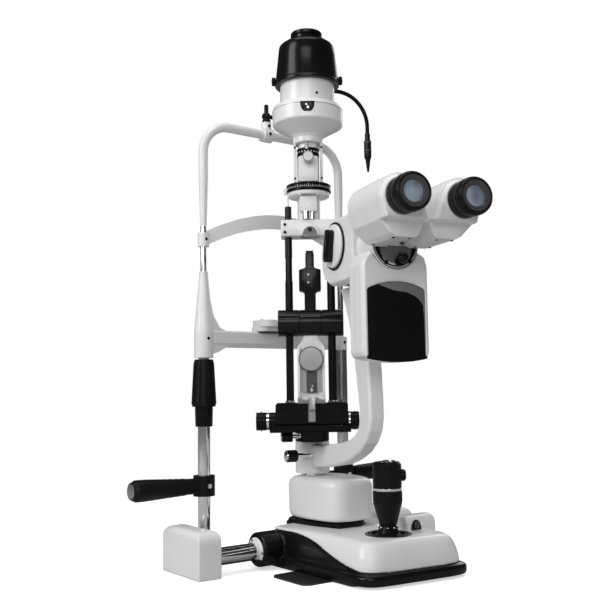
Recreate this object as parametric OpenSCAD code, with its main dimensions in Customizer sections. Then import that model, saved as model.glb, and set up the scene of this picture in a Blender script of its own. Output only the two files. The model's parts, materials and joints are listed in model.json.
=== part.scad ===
// Slit lamp: examination microscope and slit illuminator on a cross slide with a chin rest.
// +X is the examiner's right, -Y points to the examiner, +Y to the patient, +Z up.
// The origin is on the table, on the common turning axis of both arms at rest.
// Work on the two arms is drawn in the arm's own frame: its front points along -Y there.

/* [Rest pose] */
// Azimuth of the illumination arm, from the examiner's side
illum_turn = -37; // [-60:1:-30]
// Azimuth of the microscope arm
scope_turn = -15; // [-18:1:0]

/* [Stand] */
// Centre of the stand across, from the turning axis
stand_x = -15; // [-20:1:-5]
// Plane of the posts behind the turning axis
stand_y = 60; // [56:1:66]
// Distance between the two posts
post_gap = 232; // [228:1:250]
// Diameter of a lower post
post_d = 16; // [14:0.5:18]
// Diameter of an upper rod
rod_d = 8.2; // [7:0.1:9]
// Height of the top tube's axis
frame_z = 582; // [575:1:610]
// Place of the fixation lamp's clamp across
fix_x = -28; // [-60:1:-20]
// Diameter of the frame tube
tube_d = 12.5; // [11:0.5:14]
// Bend radius of the frame tube
bend_r = 40; // [34:1:50]
// Height where the frame tube begins
tube_z = 441; // [436:1:450]
// Height of the forehead band's ends
band_z = 423; // [418:1:428]
// Height of the forehead band
band_h = 19; // [15:0.5:22]
// Thickness of the forehead band
band_t = 4; // [3:0.5:5]
// Bow of the forehead band towards the examiner
band_bow = 16; // [10:1:24]
// Rise of the forehead band at its middle
band_rise = 32; // [26:1:36]

/* [Rail boxes] */
// Width of a rail cover
cover_w = 32; // [28:1:36]
// Length of a rail cover
cover_l = 92; // [90:1:100]
// Height of a rail cover
cover_h = 56; // [52:1:62]
// Wall of a rail cover
cover_t = 3; // [2:0.5:4]
// Front end of a rail cover
cover_y = -24; // [-28:1:-22]
// Distance from a post to its rail cover's inner face
cover_in = 24; // [20:1:26]
// Thickness of the steel track plate
plate_t = 2; // [1.5:0.5:2.5]

/* [Chin rest] */
// Underside of the chin bar, at its lowest
bar_z = 280; // [276:1:284]
// Height of the chin bar
bar_h = 22; // [18:1:24]
// Depth of the chin bar
bar_t = 14; // [12:1:16]
// Diameter of the sleeve's wide end
sleeve_d = 25; // [22:1:28]
// Width of the chin cup
cup_w = 68; // [60:1:80]
// Travel of the chin rest
chin_travel = 32; // [20:1:33]
// Diameter of the height knob at its foot
knob_d = 32.6; // [30:0.2:36]
// Height of the ribbed knob
knob_h = 62; // [50:1:70]

/* [Handles] */
// Height of the handles
handle_z = 101; // [96:1:110]
// Reach of a handle from its post
handle_l = 105; // [90:1:115]
// Diameter of a handle's thick end
handle_d = 27; // [24:0.5:29]

/* [Cross slide] */
// Height of the cross axle
axle_z = 24; // [23:0.5:25]
// Travel of the cross axle, fore and aft
axle_travel = 30; // [20:1:31]
// Place of the cross axle, fore and aft
axle_y = -6; // [-7:0.5:-4]
// Diameter of the cross axle
axle_d = 18.6; // [17:0.2:20]
// Diameter of the wheel shaft inside it
shaft_d = 8; // [7:0.5:9]
// Diameter of a track wheel
wheel_d = 28; // [24:1:29]
// Half width of the base
base_hw = 66; // [60:1:68]
// Front of the base skirt
base_front = -212; // [-220:1:-205]
// Rear of the base
base_rear = 8; // [4:1:10]
// Height of the base top
base_top = 50; // [48:0.5:54]
// Gap under the base
base_gap = 2.6; // [2.4:0.1:3.4]
// Reach of a hub from the turning axis
hub_x = 95; // [90:1:100]

/* [Joystick] */
// Joystick's place across
stick_x = 3; // [-5:1:8]
// Joystick's place fore and aft
stick_y = -144; // [-150:1:-138]
// Height of the joystick's pivot
stick_z = 30; // [28:1:32]
// Diameter of the dish round the joystick
dish_d = 56; // [52:1:60]
// Diameter of the joystick grip
grip_d = 34.6; // [31:0.2:37]
// Height of the joystick's top
grip_top = 135; // [130:1:140]

/* [Column] */
// Height of the column housing's top
house_top = 112; // [108:1:114]
// Outer diameter of the lift column
column_d = 48; // [44:1:50]
// Diameter of the arms' spindle
spindle_d = 16; // [14:1:18]
// Diameter of the arm hubs
hub_d = 45; // [42:1:50]
// Diameter of the black ring under the column
ring_d = 71.6; // [68:0.2:76]
// Height of the black plinth under the housing
plinth_h = 5; // [2:0.5:7]

/* [Microscope] */
// Height of the optical axis
optic_z = 389; // [385:1:393]
// Width of the microscope arm
arm_w = 19; // [16:1:24]
// Half width of the magnification body
body_hw = 34; // [31:1:37]
// Half width of the front cover
case_hw = 38; // [35:1:42]
// Distance of the cover's front face from the turning axis
case_d = 249; // [246:1:256]
// Depth of the front cover
case_t = 35; // [32:1:38]
// Underside of the front cover
case_z = 255; // [250:1:262]
// Diameter of the magnification knob
mag_d = 54; // [48:1:56]
// Distance between the eyepieces
pupil_gap = 70; // [66:1:74]
// Height of the eyepieces above the optical axis
eye_rise = 23; // [20:1:25]
// Distance of the eyecup rims from the turning axis
eye_d = 366; // [360:1:372]
// Diameter of an eyecup
cup_d = 45; // [40:1:46]

/* [Illuminator] */
// Distance of the tower from the turning axis
tower_r = 60; // [57:1:64]
// Height of the tilt axis
tilt_z = 183; // [181:1:186]
// Half width of the tilt block
block_hw = 45.6; // [44:0.2:48]
// Depth of the tilt block
block_t = 28; // [26:1:32]
// Distance from the tower axis to a black rod
rod_x = 27; // [26:0.5:29]
// Underside of the slit plate
slit_z = 418; // [415:1:422]
// Height of the slit plate
slit_h = 21; // [18:1:23]
// Diameter of the graduated dial
dial_d = 54; // [50:1:58]
// Underside of the dial
dial_z = 477; // [472:1:482]
// Underside of the lamp flange
flange_z = 565; // [560:1:570]
// Diameter of the lamp flange
flange_d = 92; // [86:1:96]
// Diameter of the lamp collar
collar_d = 71; // [66:1:74]
// Diameter of the lamp cap
cap_d = 82; // [78:1:86]
// Height of the lamp cap's top
cap_top = 692; // [688:1:710]

/* [Hidden] */
$fn = 48;

// Radial running clearance of a shaft in its bore
fit = 0.05;
// Gap left between pieces that pass each other
gap = 0.3;
// Faces of a rail cover towards the middle and away from it
box_in = stand_x - post_gap / 2 - cover_in;
box_out = box_in - cover_w;
// Height of the slot for the axle, and of the rail the wheels run on
slot_h = axle_d + 4;
rail_top = axle_z - wheel_d / 2 - gap;
// Length of the cross axle between the wheels
axle_l = cover_in * 2 + post_gap + 2 * cover_t + 1;
// Top of the chin bar's sleeve, which stops short of the forehead band
sleeve_top = band_z - band_h / 2 - chin_travel - 1.5;
// Underside of the microscope arm's hub, and the level where the two hubs meet
hub_low = house_top + 1 + gap;
hub_mid = hub_low + 41.7;
// Top of the cradle the tower tilts in
cradle_top = tilt_z - 6.5;
ivory = [0.90, 0.90, 0.89];
jet = [0.06, 0.06, 0.07];
steel = [0.75, 0.76, 0.78];
iron = [0.32, 0.33, 0.35];
grey = [0.62, 0.63, 0.64];
glass = [0.55, 0.66, 0.78];
brass_tone = [0.72, 0.60, 0.32];

// Side views are drawn as (distance in front, height) and run through the width
module sidewise(w) {
  rotate([90, 0, -90])
    linear_extrude(w, center = true)
      children();
}

// Profiles drawn as (y, height), run through the width
module lengthwise(w) {
  rotate([90, 0, 90])
    linear_extrude(w, center = true)
      children();
}

// A cylinder along X with its middle at the origin
module rod_along_x(d, l) {
  rotate([0, 90, 0])
    cylinder(d = d, h = l, center = true);
}

// A cylinder that starts at the origin and runs towards the front, along -Y
module rod_forward(d, l) {
  rotate([90, 0, 0])
    cylinder(d = d, h = l);
}

module illum_frame() {
  rotate([0, 0, illum_turn])
    children();
}

module tower_frame() {
  illum_frame()
    translate([0, -tower_r, 0])
      children();
}

module scope_frame() {
  rotate([0, 0, scope_turn])
    children();
}

module left_post() {
  translate([stand_x - post_gap / 2, stand_y, 0])
    children();
}

module right_post() {
  translate([stand_x + post_gap / 2, stand_y, 0])
    children();
}

// The stand's parts that come as a mirrored pair are drawn at the left
module stand_pair() {
  children();
  translate([2 * stand_x, 0, 0])
    mirror([1, 0, 0])
      children();
}

// Steel plate the base's foot runs on, with the strip that ties the rails together
module track_plate() {
  color(iron)
    linear_extrude(plate_t)
      union() {
        plate_corner(-105, 75, -122, -52, 10);
        plate_corner(-65, 35, -160, 20, 8);
        translate([stand_x - 50, 10])
          square([100, 40]);
        translate([box_out + cover_t + 2, stand_y - 14])
          square([2 * (stand_x - box_out - cover_t - 2), 28]);
      }
}

// Plate outline with round corners
module plate_corner(x0, x1, y0, y1, r) {
  translate([x0 + r, y0])
    square([x1 - x0 - 2 * r, y1 - y0]);
  translate([x0, y0 + r])
    square([x1 - x0, y1 - y0 - 2 * r]);
  for (x = [x0 + r, x1 - r])
    for (y = [y0 + r, y1 - r])
      translate([x, y])
        circle(r, $fn = 32);
}

// Outline of a rail cover seen from the side, arched over at its top
module cover_side(inset) {
  r = 14 - inset;
  translate([cover_y + inset, -1])
    square([cover_l - 2 * inset, cover_h - r - inset + 1]);
  translate([cover_y + inset + r, -1])
    square([cover_l - 2 * inset - 2 * r, cover_h - inset + 1]);
  for (y = [cover_y + inset + r, cover_y + cover_l - inset - r])
    translate([y, cover_h - inset - r])
      circle(r, $fn = 48);
}

// Outline of a rail cover seen from the front
module cover_front(inset) {
  r = 9 - inset;
  translate([box_out + inset, -1])
    square([cover_w - 2 * inset, cover_h - r - inset + 1]);
  translate([box_out + inset + r, -1])
    square([cover_w - 2 * inset - 2 * r, cover_h - inset + 1]);
  for (x = [box_out + inset + r, box_in - inset - r])
    translate([x, cover_h - inset - r])
      circle(r, $fn = 48);
}

module cover_block(inset) {
  intersection() {
    translate([box_out + cover_w / 2, 0, 0])
      lengthwise(cover_w - 2 * inset)
        cover_side(inset);
    translate([0, cover_y + cover_l - inset, 0])
      rotate([90, 0, 0])
        linear_extrude(cover_l - 2 * inset)
          cover_front(inset);
    translate([box_out - 1, cover_y - 1, 0])
      cube([cover_w + 2, cover_l + 2, cover_h + 2]);
  }
}

// White arched covers over the two rails, open below and slotted for the axle
module rail_covers() {
  color(ivory)
    stand_pair()
      difference() {
        cover_block(0);
        translate([0, 0, -0.01])
          cover_block(cover_t);
        translate([box_in - cover_t - 1, axle_y - slot_h / 2, axle_z - slot_h / 2])
          cube([cover_t + 2, axle_travel + slot_h, slot_h]);
        translate([box_out + cover_t + 1.6, stand_y - 14.2, -1])
          cube([cover_w, 30, plate_t + 1.2]);
        translate([box_in - cover_t - 1, stand_y - 10.2, -1])
          cube([cover_t + 2, 16.4, rail_top + 1.2]);
      }
}

// Rails for the track wheels, each cast with the foot that holds a post
module rail_bases() {
  x0 = box_out + cover_t + 0.1;
  w = cover_w - 2 * cover_t - 0.2;
  color(jet)
    stand_pair()
      difference() {
        union() {
          translate([x0, cover_y + cover_t + 0.1, 0])
            cube([w, cover_l - 2 * cover_t - 0.2, rail_top]);
          translate([x0 + w - 6, stand_y - 10, plate_t])
            cube([14, 14, rail_top - plate_t]);
          left_post()
            translate([0, 0, plate_t])
              cylinder(d = 28, h = 40);
          left_post()
            translate([-cover_in, -12, plate_t])
              cube([cover_in, 24, 34]);
        }
        translate([x0 + 1.8, stand_y - 14.1, -1])
          cube([60, 30, plate_t + 1.02]);
        for (y = [0, 30])
          translate([x0 + w / 2, y - 6, -1])
            cylinder(d = 5, h = rail_top - 2, $fn = 24);
        left_post()
          translate([0, 0, plate_t + 3])
            cylinder(d = post_d + 2 * fit, h = 60);
      }
}

// Chromed lower posts, the left one with a collar under the height knob
module lower_posts() {
  color(steel) {
    left_post()
      difference() {
        union() {
          translate([0, 0, plate_t + 3])
            cylinder(d = post_d, h = 197 - plate_t);
          translate([0, 0, 177])
            cylinder(d = 22, h = 24);
          translate([0, 0, 201])
            cylinder(d1 = 22, d2 = 20, h = 1);
        }
        translate([0, 0, 150])
          cylinder(d = rod_d + 2 * fit, h = 80);
      }
    right_post()
      difference() {
        translate([0, 0, plate_t + 3])
          cylinder(d = post_d, h = bar_z - gap - plate_t - 3);
        translate([0, 0, bar_z - 50])
          cylinder(d = rod_d + 2 * fit, h = 80);
      }
  }
}

// Thin rods the chin rest slides on
module upper_rods() {
  color(steel) {
    left_post()
      translate([0, 0, 150])
        stepped_rod(tube_z - 150);
    right_post()
      translate([0, 0, bar_z - 50])
        stepped_rod(tube_z - bar_z + 50);
  }
}

module stepped_rod(h) {
  cylinder(d = rod_d, h = h, $fn = 40);
  cylinder(d = 5, h = h + 18, $fn = 32);
}

// One tube bent over the patient's head, drawn down at both ends
module head_frame() {
  x0 = stand_x - post_gap / 2;
  color(ivory)
    union() {
      stand_pair()
        left_post()
          difference() {
            union() {
              translate([0, 0, tube_z])
                cylinder(d1 = rod_d + 0.4, d2 = tube_d, h = 69, $fn = 40);
              translate([0, 0, tube_z + 69])
                cylinder(d = tube_d, h = frame_z - bend_r - tube_z - 69, $fn = 40);
              translate([bend_r, 0, frame_z - bend_r])
                rotate([90, 0, 0])
                  rotate([0, 0, 90])
                    rotate_extrude(angle = 90, $fn = 72)
                      translate([bend_r, 0])
                        circle(d = tube_d, $fn = 40);
            }
            translate([0, 0, tube_z - 1])
              cylinder(d = 5 + 2 * fit, h = 20, $fn = 32);
          }
      translate([stand_x, stand_y, frame_z])
        rod_along_x(tube_d, post_gap - 2 * bend_r, $fn = 40);
    }
}

// Band the patient rests the forehead on, bowed and arched between the rods
module forehead_band() {
  half = post_gap / 2;
  plan = [for (i = [-16:16]) let (t = i / 16) [t * half, -band_bow * (1 - t * t)]];
  back = [for (i = [16:-1:-16]) let (t = i / 16) [t * half, -band_bow * (1 - t * t) + band_t]];
  low = [for (i = [-16:16]) let (t = i / 16) [t * half, band_rise * (1 - t * t) - band_h / 2]];
  high = [for (i = [16:-1:-16]) let (t = i / 16) [t * half, band_rise * (1 - t * t) + band_h / 2]];
  color(ivory)
    difference() {
      union() {
        translate([stand_x, stand_y - band_t / 2, 0])
          intersection() {
            translate([0, 0, band_z - 40])
              linear_extrude(120)
                polygon(concat(plan, back));
            translate([0, 40, band_z])
              rotate([90, 0, 0])
                linear_extrude(90)
                  polygon(concat(low, high));
          }
        stand_pair()
          left_post()
            translate([0, 0, band_z - band_h / 2])
              cylinder(d = 15, h = band_h - 1);
      }
      stand_pair()
        left_post()
          translate([0, 0, band_z - 60])
            cylinder(d = rod_d + 2 * fit, h = tube_z - band_z + 60 - gap);
      stand_pair()
        left_post()
          translate([0, 0, tube_z - 1])
            cylinder(d = 16, h = 40);
    }
}

// Clamp on the top tube with the pivot of the fixation lamp
module fixation_clamp() {
  color(ivory)
    difference() {
      union() {
        translate([fix_x, stand_y, frame_z])
          rod_along_x(20, 15);
        translate([fix_x, stand_y, frame_z])
          cylinder(d = 14, h = 18);
        translate([fix_x, stand_y, frame_z + 17])
          cylinder(d = 6, h = 9, $fn = 32);
      }
      translate([fix_x, stand_y, frame_z])
        rod_along_x(tube_d + 2 * fit, 40, $fn = 40);
    }
}

// White cross bar of the chin rest with its flared sleeve on the left rod
module chin_bar() {
  color(ivory)
    difference() {
      union() {
        left_post() {
          translate([0, 0, 205])
            cylinder(d = 14, h = bar_z - 205);
          translate([0, 0, bar_z - 14])
            cylinder(d = sleeve_d, h = 34);
          translate([0, 0, bar_z + 20])
            cylinder(d1 = sleeve_d, d2 = rod_d + 3.4, h = sleeve_top - bar_z - 25);
          translate([0, 0, sleeve_top - 5])
            cylinder(d = rod_d + 3.4, h = 5);
        }
        right_post()
          translate([0, 0, bar_z])
            cylinder(d = 17, h = bar_h - 3);
        translate([stand_x, stand_y, bar_z])
          lengthwise(post_gap)
            polygon([[-bar_t / 2 + 4, 0], [bar_t / 2 - 4, 0], [bar_t / 2, 6],
              [bar_t / 2, bar_h - 2], [bar_t / 2 - 2, bar_h],
              [-bar_t / 2 + 2, bar_h], [-bar_t / 2, bar_h - 2], [-bar_t / 2, 6]]);
        left_post()
          rotate([90, 0, 0])
            linear_extrude(10, center = true)
              polygon([[0, bar_z - 12], [18, bar_z - 7], [34, bar_z + 1],
                [34, bar_z + bar_h - 1], [22, bar_z + bar_h + 4], [12, bar_z + bar_h + 20],
                [8, bar_z + 60], [0, bar_z + 60]]);
      }
      left_post()
        translate([0, 0, 200])
          cylinder(d = rod_d + 2 * fit, h = 200);
      right_post()
        translate([0, 0, bar_z - 20])
          cylinder(d = rod_d + 2 * fit, h = 140);
    }
}

// Dished cup for the chin, screwed on the bar
module chin_cup() {
  z = bar_z + bar_h;
  color(ivory)
    translate([stand_x, stand_y, z])
      difference() {
        union() {
          linear_extrude(7)
            rounded_rect(cup_w, 34, 10);
          translate([0, -4, 7])
            linear_extrude(9)
              rounded_rect(cup_w, 42, 14);
        }
        translate([0, -4, 50])
          rotate([90, 0, 0])
            cylinder(r = 38.5, h = 60, center = true, $fn = 96);
        for (x = [-26, 26])
          translate([x, -4, 1])
            cylinder(d = 4, h = 30, $fn = 32);
      }
}

module rounded_rect(w, d, r) {
  square([w - 2 * r, d], center = true);
  square([w, d - 2 * r], center = true);
  for (x = [-w / 2 + r, w / 2 - r])
    for (y = [-d / 2 + r, d / 2 - r])
      translate([x, y])
        circle(r, $fn = 40);
}

// Ribbed knob that raises the chin rest
module height_knob() {
  color(jet)
    left_post()
      translate([0, 0, 202 + gap])
        difference() {
          union() {
            cylinder(d = knob_d - 2, h = 3, $fn = 64);
            translate([0, 0, 3])
              cylinder(d1 = knob_d - 1.6, d2 = 25.5, h = knob_h - 5, $fn = 64);
            translate([0, 0, knob_h - 2])
              cylinder(d = 24, h = 1.4, $fn = 64);
            intersection() {
              translate([0, 0, 3])
                cylinder(d1 = knob_d, d2 = 27, h = knob_h - 8, $fn = 64);
              for (i = [0:11])
                rotate([0, 0, 30 * i])
                  translate([0, -2.4, 0])
                    cube([20, 4.8, knob_h]);
            }
          }
          translate([0, 0, -1])
            cylinder(d = rod_d + 2 * fit, h = 80);
          translate([0, 0, 2.4])
            cylinder(d = 14 + 2 * fit, h = 80);
        }
}

module handle() {
  difference() {
    union() {
      translate([0, 0, handle_z - 13])
        cylinder(d = 28, h = 26);
      translate([-20, -8, handle_z - 9])
        cube([12, 16, 18]);
      translate([-16, 0, handle_z])
        rotate([0, -90, 0]) {
          cylinder(d = 20, h = 6);
          translate([0, 0, 6])
            cylinder(d1 = 20, d2 = handle_d, h = handle_l - 42);
          translate([0, 0, handle_l - 36])
            cylinder(d = handle_d, h = 12);
          translate([0, 0, handle_l - 24])
            cylinder(d1 = handle_d, d2 = handle_d - 6, h = 6);
          for (i = [0:5])
            translate([0, 0, 14 + 9 * i])
              cylinder(d = 21.6 + 0.9 * i, h = 4);
        }
    }
    translate([0, 0, handle_z - 20])
      cylinder(d = post_d + 2 * fit, h = 40);
  }
}

// Grip the patient holds at the left
module left_handle() {
  color(jet)
    left_post()
      handle();
}

// Grip the patient holds at the right, with the tail of its clamp screw
module right_handle() {
  color(jet)
    right_post() {
      mirror([1, 0, 0])
        handle();
      translate([-13, 0, handle_z])
        rotate([0, -90, 0]) {
          cylinder(d = 9, h = 5);
          translate([0, 0, 4.8])
            cylinder(d = 11, h = 7);
        }
    }
}

// Pivoted gooseneck with the small lamp the patient looks at
module fixation_arm() {
  neck_r = 47.7;
  reach = 165.7;
  z1 = 662.7;
  color(jet)
    translate([fix_x, stand_y, 0])
      rotate([0, 0, -10.4])
        difference() {
          union() {
            translate([0, 0, frame_z + 18 + gap])
              cylinder(d = 12, h = 5);
            translate([0, 0, frame_z + 27])
              sphere(d = 13);
            translate([0, 0, frame_z + 27])
              cylinder(d = 4.6, h = z1 - frame_z - 27, $fn = 32);
            translate([0, 0, z1])
              sphere(d = 5.4, $fn = 32);
            translate([0, 0, z1])
              rotate([0, 90, 0])
                cylinder(d = 4.6, h = reach - neck_r - 20, $fn = 32);
            translate([reach - neck_r - 26, 0, z1])
              rotate([0, 90, 0])
                cylinder(d = 5.6, h = 26.2, $fn = 32);
            translate([reach - neck_r, 0, z1 - neck_r])
              rotate([90, 0, 0])
                rotate_extrude(angle = 90, $fn = 72)
                  translate([neck_r, 0])
                    circle(d = 5.6, $fn = 32);
            translate([reach, 0, 0]) {
              translate([0, 0, 590])
                cylinder(d = 5.6, h = z1 - neck_r - 589.8, $fn = 32);
              translate([0, 0, 593])
                cylinder(d = 8, h = 11);
              translate([0, 0, 569])
                cylinder(d = 11, h = 24);
              translate([0, 0, 566])
                cylinder(d1 = 9.6, d2 = 11, h = 3);
              translate([0, 0, 546])
                cylinder(d1 = 3, d2 = 8, h = 20);
            }
          }
          translate([0, 0, frame_z + 10])
            cylinder(d = 6 + 2 * fit, h = 16 + gap, $fn = 32);
          translate([reach, 0, 540])
            cylinder(d = 1.6, h = 30, $fn = 24);
        }
}

// Chromed cross tube the base slides along, with flanged ends inside the covers
module cross_axle() {
  color(steel)
    translate([stand_x, axle_y, axle_z])
      difference() {
        rod_along_x(axle_d, axle_l, $fn = 64);
        rod_along_x(shaft_d + 2 * fit, axle_l + 2, $fn = 40);
      }
}

// Inner shaft with a track wheel at each end
module wheel_set() {
  color(iron)
    translate([stand_x, axle_y, axle_z]) {
      rod_along_x(shaft_d, axle_l + 40, $fn = 40);
      for (side = [-1, 1]) {
        translate([side * (axle_l / 2 + gap + 7), 0, 0])
          rod_along_x(wheel_d, 13, $fn = 72);
        translate([side * (axle_l / 2 + gap + 14.5), 0, 0])
          rod_along_x(14, 4);
      }
    }
}

// Outline of the base from above
function base_plan(e) = [
  [-base_hw - e, base_rear - 28], [-base_hw - e, -160], [-61 - e * 0.8, -183 - e * 0.5],
  [-50 - e * 0.7, -199 - e * 0.8], [-30, -208 - e], [0, base_front - e], [30, -209 - e],
  [52 + e * 0.7, -203 - e * 0.8], [63 + e * 0.8, -188 - e * 0.5], [base_hw + e, -166],
  [base_hw + e, base_rear - 28]];

// Line along the side of the base where black meets white: place fore and aft, height
lip = [[base_rear + 4, 46.2], [-16, 45.8], [-40, 46.4], [-62, 45.6], [-80, 43.8], [-96, 41], [-112, 37],
  [-128, 32.2], [-144, 27.4], [-160, 23.4], [-176, 20.4], [-193, 18], [base_front - 20, 16.2]];

// Black lower half of the base: skirt, swept sides, hubs on the axle and joystick seat
module base_chassis() {
  color(jet)
    difference() {
      union() {
        translate([0, 0, base_gap])
          linear_extrude(10)
            polygon(base_plan(3));
        translate([0, 0, base_gap + 9.9])
          linear_extrude(2)
            polygon(base_plan(1.6));
        intersection() {
          translate([0, 0, 8])
            linear_extrude(50)
              polygon(base_plan(0.6));
          translate([0, 0, -0.6])
            lengthwise(200)
              polygon(concat(lip, [[base_front - 20, 0], [base_rear + 4, 0]]));
        }
        translate([stick_x, stick_y, 12])
          cylinder(d = dish_d - 0.4, h = base_top - 12.6, $fn = 72);
        translate([0, axle_y, axle_z - 2])
          intersection() {
            rod_along_x(42, 2 * hub_x - 6, $fn = 96);
            translate([-hub_x, -40, base_gap + 2 - axle_z])
              cube([2 * hub_x, 80, 60]);
          }
        for (side = [-1, 1])
          translate([side * (hub_x - 1.5), axle_y, axle_z - 2])
            rod_along_x(38, 3, $fn = 96);
      }
      translate([0, axle_y, axle_z])
        rod_along_x(24 + 2 * fit, 240, $fn = 64);
      translate([0, 0, 37])
        cylinder(d = ring_d + 2 * fit, h = 80, $fn = 64);
      translate([stick_x, stick_y, 14])
        cylinder(d = dish_d - 8, h = 60);
      translate([stick_x, stick_y, base_top - 7])
        cylinder(d1 = dish_d - 8, d2 = dish_d - 3, h = 8);
      translate([stick_x, stick_y, stick_z])
        rotate([90, 0, 0])
          cylinder(d = 6 + 2 * fit, h = 56, center = true, $fn = 32);
      for (side = [-1, 1])
        translate([side * 45 - 12, -116, 8])
          cube([24, 80, 80]);
    }
}

// White cover of the base, swept up at its sides and hollow inside
module base_cover() {
  top = [[base_front - 20, 16], [base_front - 1, 19], [-204, 27], [-192, 39], [-184, 45],
    [-172, base_top - 1], [-160, base_top], [base_rear - 30, base_top], [base_rear - 25, base_top - 3],
    [base_rear - 22, 40]];
  color(ivory)
    difference() {
      union() {
        intersection() {
          translate([0, 0, 10])
            linear_extrude(60)
              polygon(base_plan(0));
          lengthwise(160)
            polygon(concat(top, [[base_rear - 22, 0], [base_front - 20, 0]]));
        }
        palm_rest(0);
      }
      intersection() {
        translate([0, 0, 5])
          linear_extrude(60)
            polygon(base_plan(-3));
        translate([0, 0, -3])
          lengthwise(160)
            polygon(concat(top, [[base_rear - 22, 0], [base_front - 20, 0]]));
      }
      palm_rest(3);
      lengthwise(200)
        polygon(concat([[base_rear + 40, -20], [base_rear + 40, 46.2]], lip, [[base_front - 20, -20]]));
      translate([0, 0, 20])
        cylinder(d = ring_d + 2 * fit, h = 60, $fn = 64);
      translate([stick_x, stick_y, 20])
        cylinder(d = dish_d, h = 60, $fn = 72);
      translate([44, -140, 57.4])
        rod_forward(9 + 2 * fit, 30);
    }
}

// Raised rest behind the joystick, drawn from inside or outside
module palm_rest(inset) {
  intersection() {
    translate([0, 0, 40])
      linear_extrude(40)
        polygon([[24 + inset, -160 + inset], [base_hw - inset, -160 + inset],
          [base_hw - inset, -64 - inset], [40 + inset, -64 - inset],
          [24 + inset, -90]]);
    lengthwise(160)
      polygon([[-160 + inset, 40], [-160 + inset, 63 - inset], [-156 + inset, 67 - inset],
        [-130, 68 - inset], [-96, 62 - inset], [-66 - inset, base_top + 1 - inset], [-66 - inset, 40]]);
  }
}

// Plastic bushes the base slides on
module axle_bushes() {
  color(grey)
    for (side = [-1, 1])
      translate([side * (hub_x - 14), axle_y, axle_z])
        difference() {
          rod_along_x(24, 28, $fn = 64);
          rod_along_x(axle_d + 2 * fit, 30, $fn = 64);
        }
}

// Fixed tube the column slides on, with the black ring under the housing
module lift_guide() {
  color(jet)
    difference() {
      union() {
        translate([0, 0, 37])
          cylinder(d = ring_d, h = base_top - 37, $fn = 64);
        translate([0, 0, base_top])
          linear_extrude(plinth_h)
            housing_plan(-4.4);
        translate([0, 0, 40])
          cylinder(d = column_d - 10, h = house_top - 9 - 40);
      }
      translate([0, 0, 36])
        cylinder(d = column_d - 20, h = 80);
    }
}

// Outline of the column housing from above, longer towards the examiner
module housing_plan(e) {
  polygon([[-36 - e, -2], [-38 - e, 10], [-30 - e, 24 + e], [-14, 32 + e], [14, 32 + e],
    [32 + e, 22 + e], [41 + e, 4], [40 + e, -22], [34 + e, -50], [22 + e, -78 - e], [18, -82 - e],
    [-18, -82 - e], [-24 - e, -78 - e], [-33 - e, -36]]);
}

// Lever that locks the base, in the arch of the palm rest
module lock_lever() {
  color(jet)
    translate([44, -146, 57.4]) {
      rod_forward(9, 16);
      translate([0, -14 - gap, 0])
        rod_forward(13, 6);
      translate([-1.8, -21, 0])
        cube([3.6, 5, 13]);
    }
}

// Tilting ring of the joystick's joint, on two pins in the base
module joystick_gimbal() {
  color(steel)
    translate([stick_x, stick_y, stick_z])
      difference() {
        union() {
          cylinder(d = 42, h = 12, center = true);
          rotate([90, 0, 0])
            cylinder(d = 6, h = 53, center = true, $fn = 32);
        }
        cylinder(d = 29, h = 14, center = true);
        rod_along_x(6 + 2 * fit, 60, $fn = 32);
      }
}

// Stem of the joystick with its cross pin and round dust cap
module joystick_stem() {
  color(jet)
    translate([stick_x, stick_y, stick_z]) {
      rod_along_x(6, 41, $fn = 32);
      cylinder(d = 18, h = 16, center = true);
      cylinder(d = 12, h = grip_top - stick_z - 9);
      intersection() {
        sphere(d = 50, $fn = 96);
        translate([0, 0, 14])
          cylinder(d = 60, h = 9);
      }
      translate([0, 0, 21.6])
        cylinder(d1 = 27, d2 = 20, h = 7.4);
      translate([0, 0, 29])
        cylinder(d = 20, h = 2);
    }
}

// Grip that twists on the stem to raise and lower the column
module joystick_grip() {
  color(jet)
    translate([stick_x, stick_y, 0])
      difference() {
        union() {
          translate([0, 0, stick_z + 31 + gap])
            cylinder(d1 = 21, d2 = 25, h = 8);
          translate([0, 0, 69])
            cylinder(d1 = 25, d2 = grip_d, h = 17, $fn = 64);
          translate([0, 0, 86])
            cylinder(d = grip_d, h = grip_top - 89, $fn = 64);
          translate([0, 0, grip_top - 3])
            cylinder(d1 = grip_d, d2 = grip_d - 5, h = 3, $fn = 64);
        }
        translate([0, 0, 40])
          cylinder(d = 12 + 2 * fit, h = grip_top - 48);
        translate([0, 0, 101])
          difference() {
            cylinder(d = 50, h = 3.4);
            translate([0, 0, -1])
              cylinder(d = grip_d - 1, h = 6, $fn = 64);
          }
        translate([0, 0, grip_top - 6])
          cylinder(d = 12 + 2 * fit, h = 8);
        rotate([0, 0, illum_turn])
          translate([10, 0, 119])
            rotate([0, 90, 0])
              cylinder(d = 14 + 2 * fit, h = 20);
      }
}

// Side release button of the joystick
module trigger() {
  color(jet)
    translate([stick_x, stick_y, 119])
      rotate([0, 0, illum_turn])
        rotate([0, 90, 0]) {
          translate([0, 0, 12.5])
            cylinder(d = 14, h = 8);
          translate([0, 0, 20.5])
            cylinder(d1 = 14, d2 = 10, h = 2);
        }
}

// Button on top of the joystick
module top_button() {
  color(steel)
    translate([stick_x, stick_y, grip_top - 4.2]) {
      cylinder(d = 12, h = 5);
      translate([0, 0, 5])
        cylinder(d1 = 12, d2 = 9, h = 1);
    }
}

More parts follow.
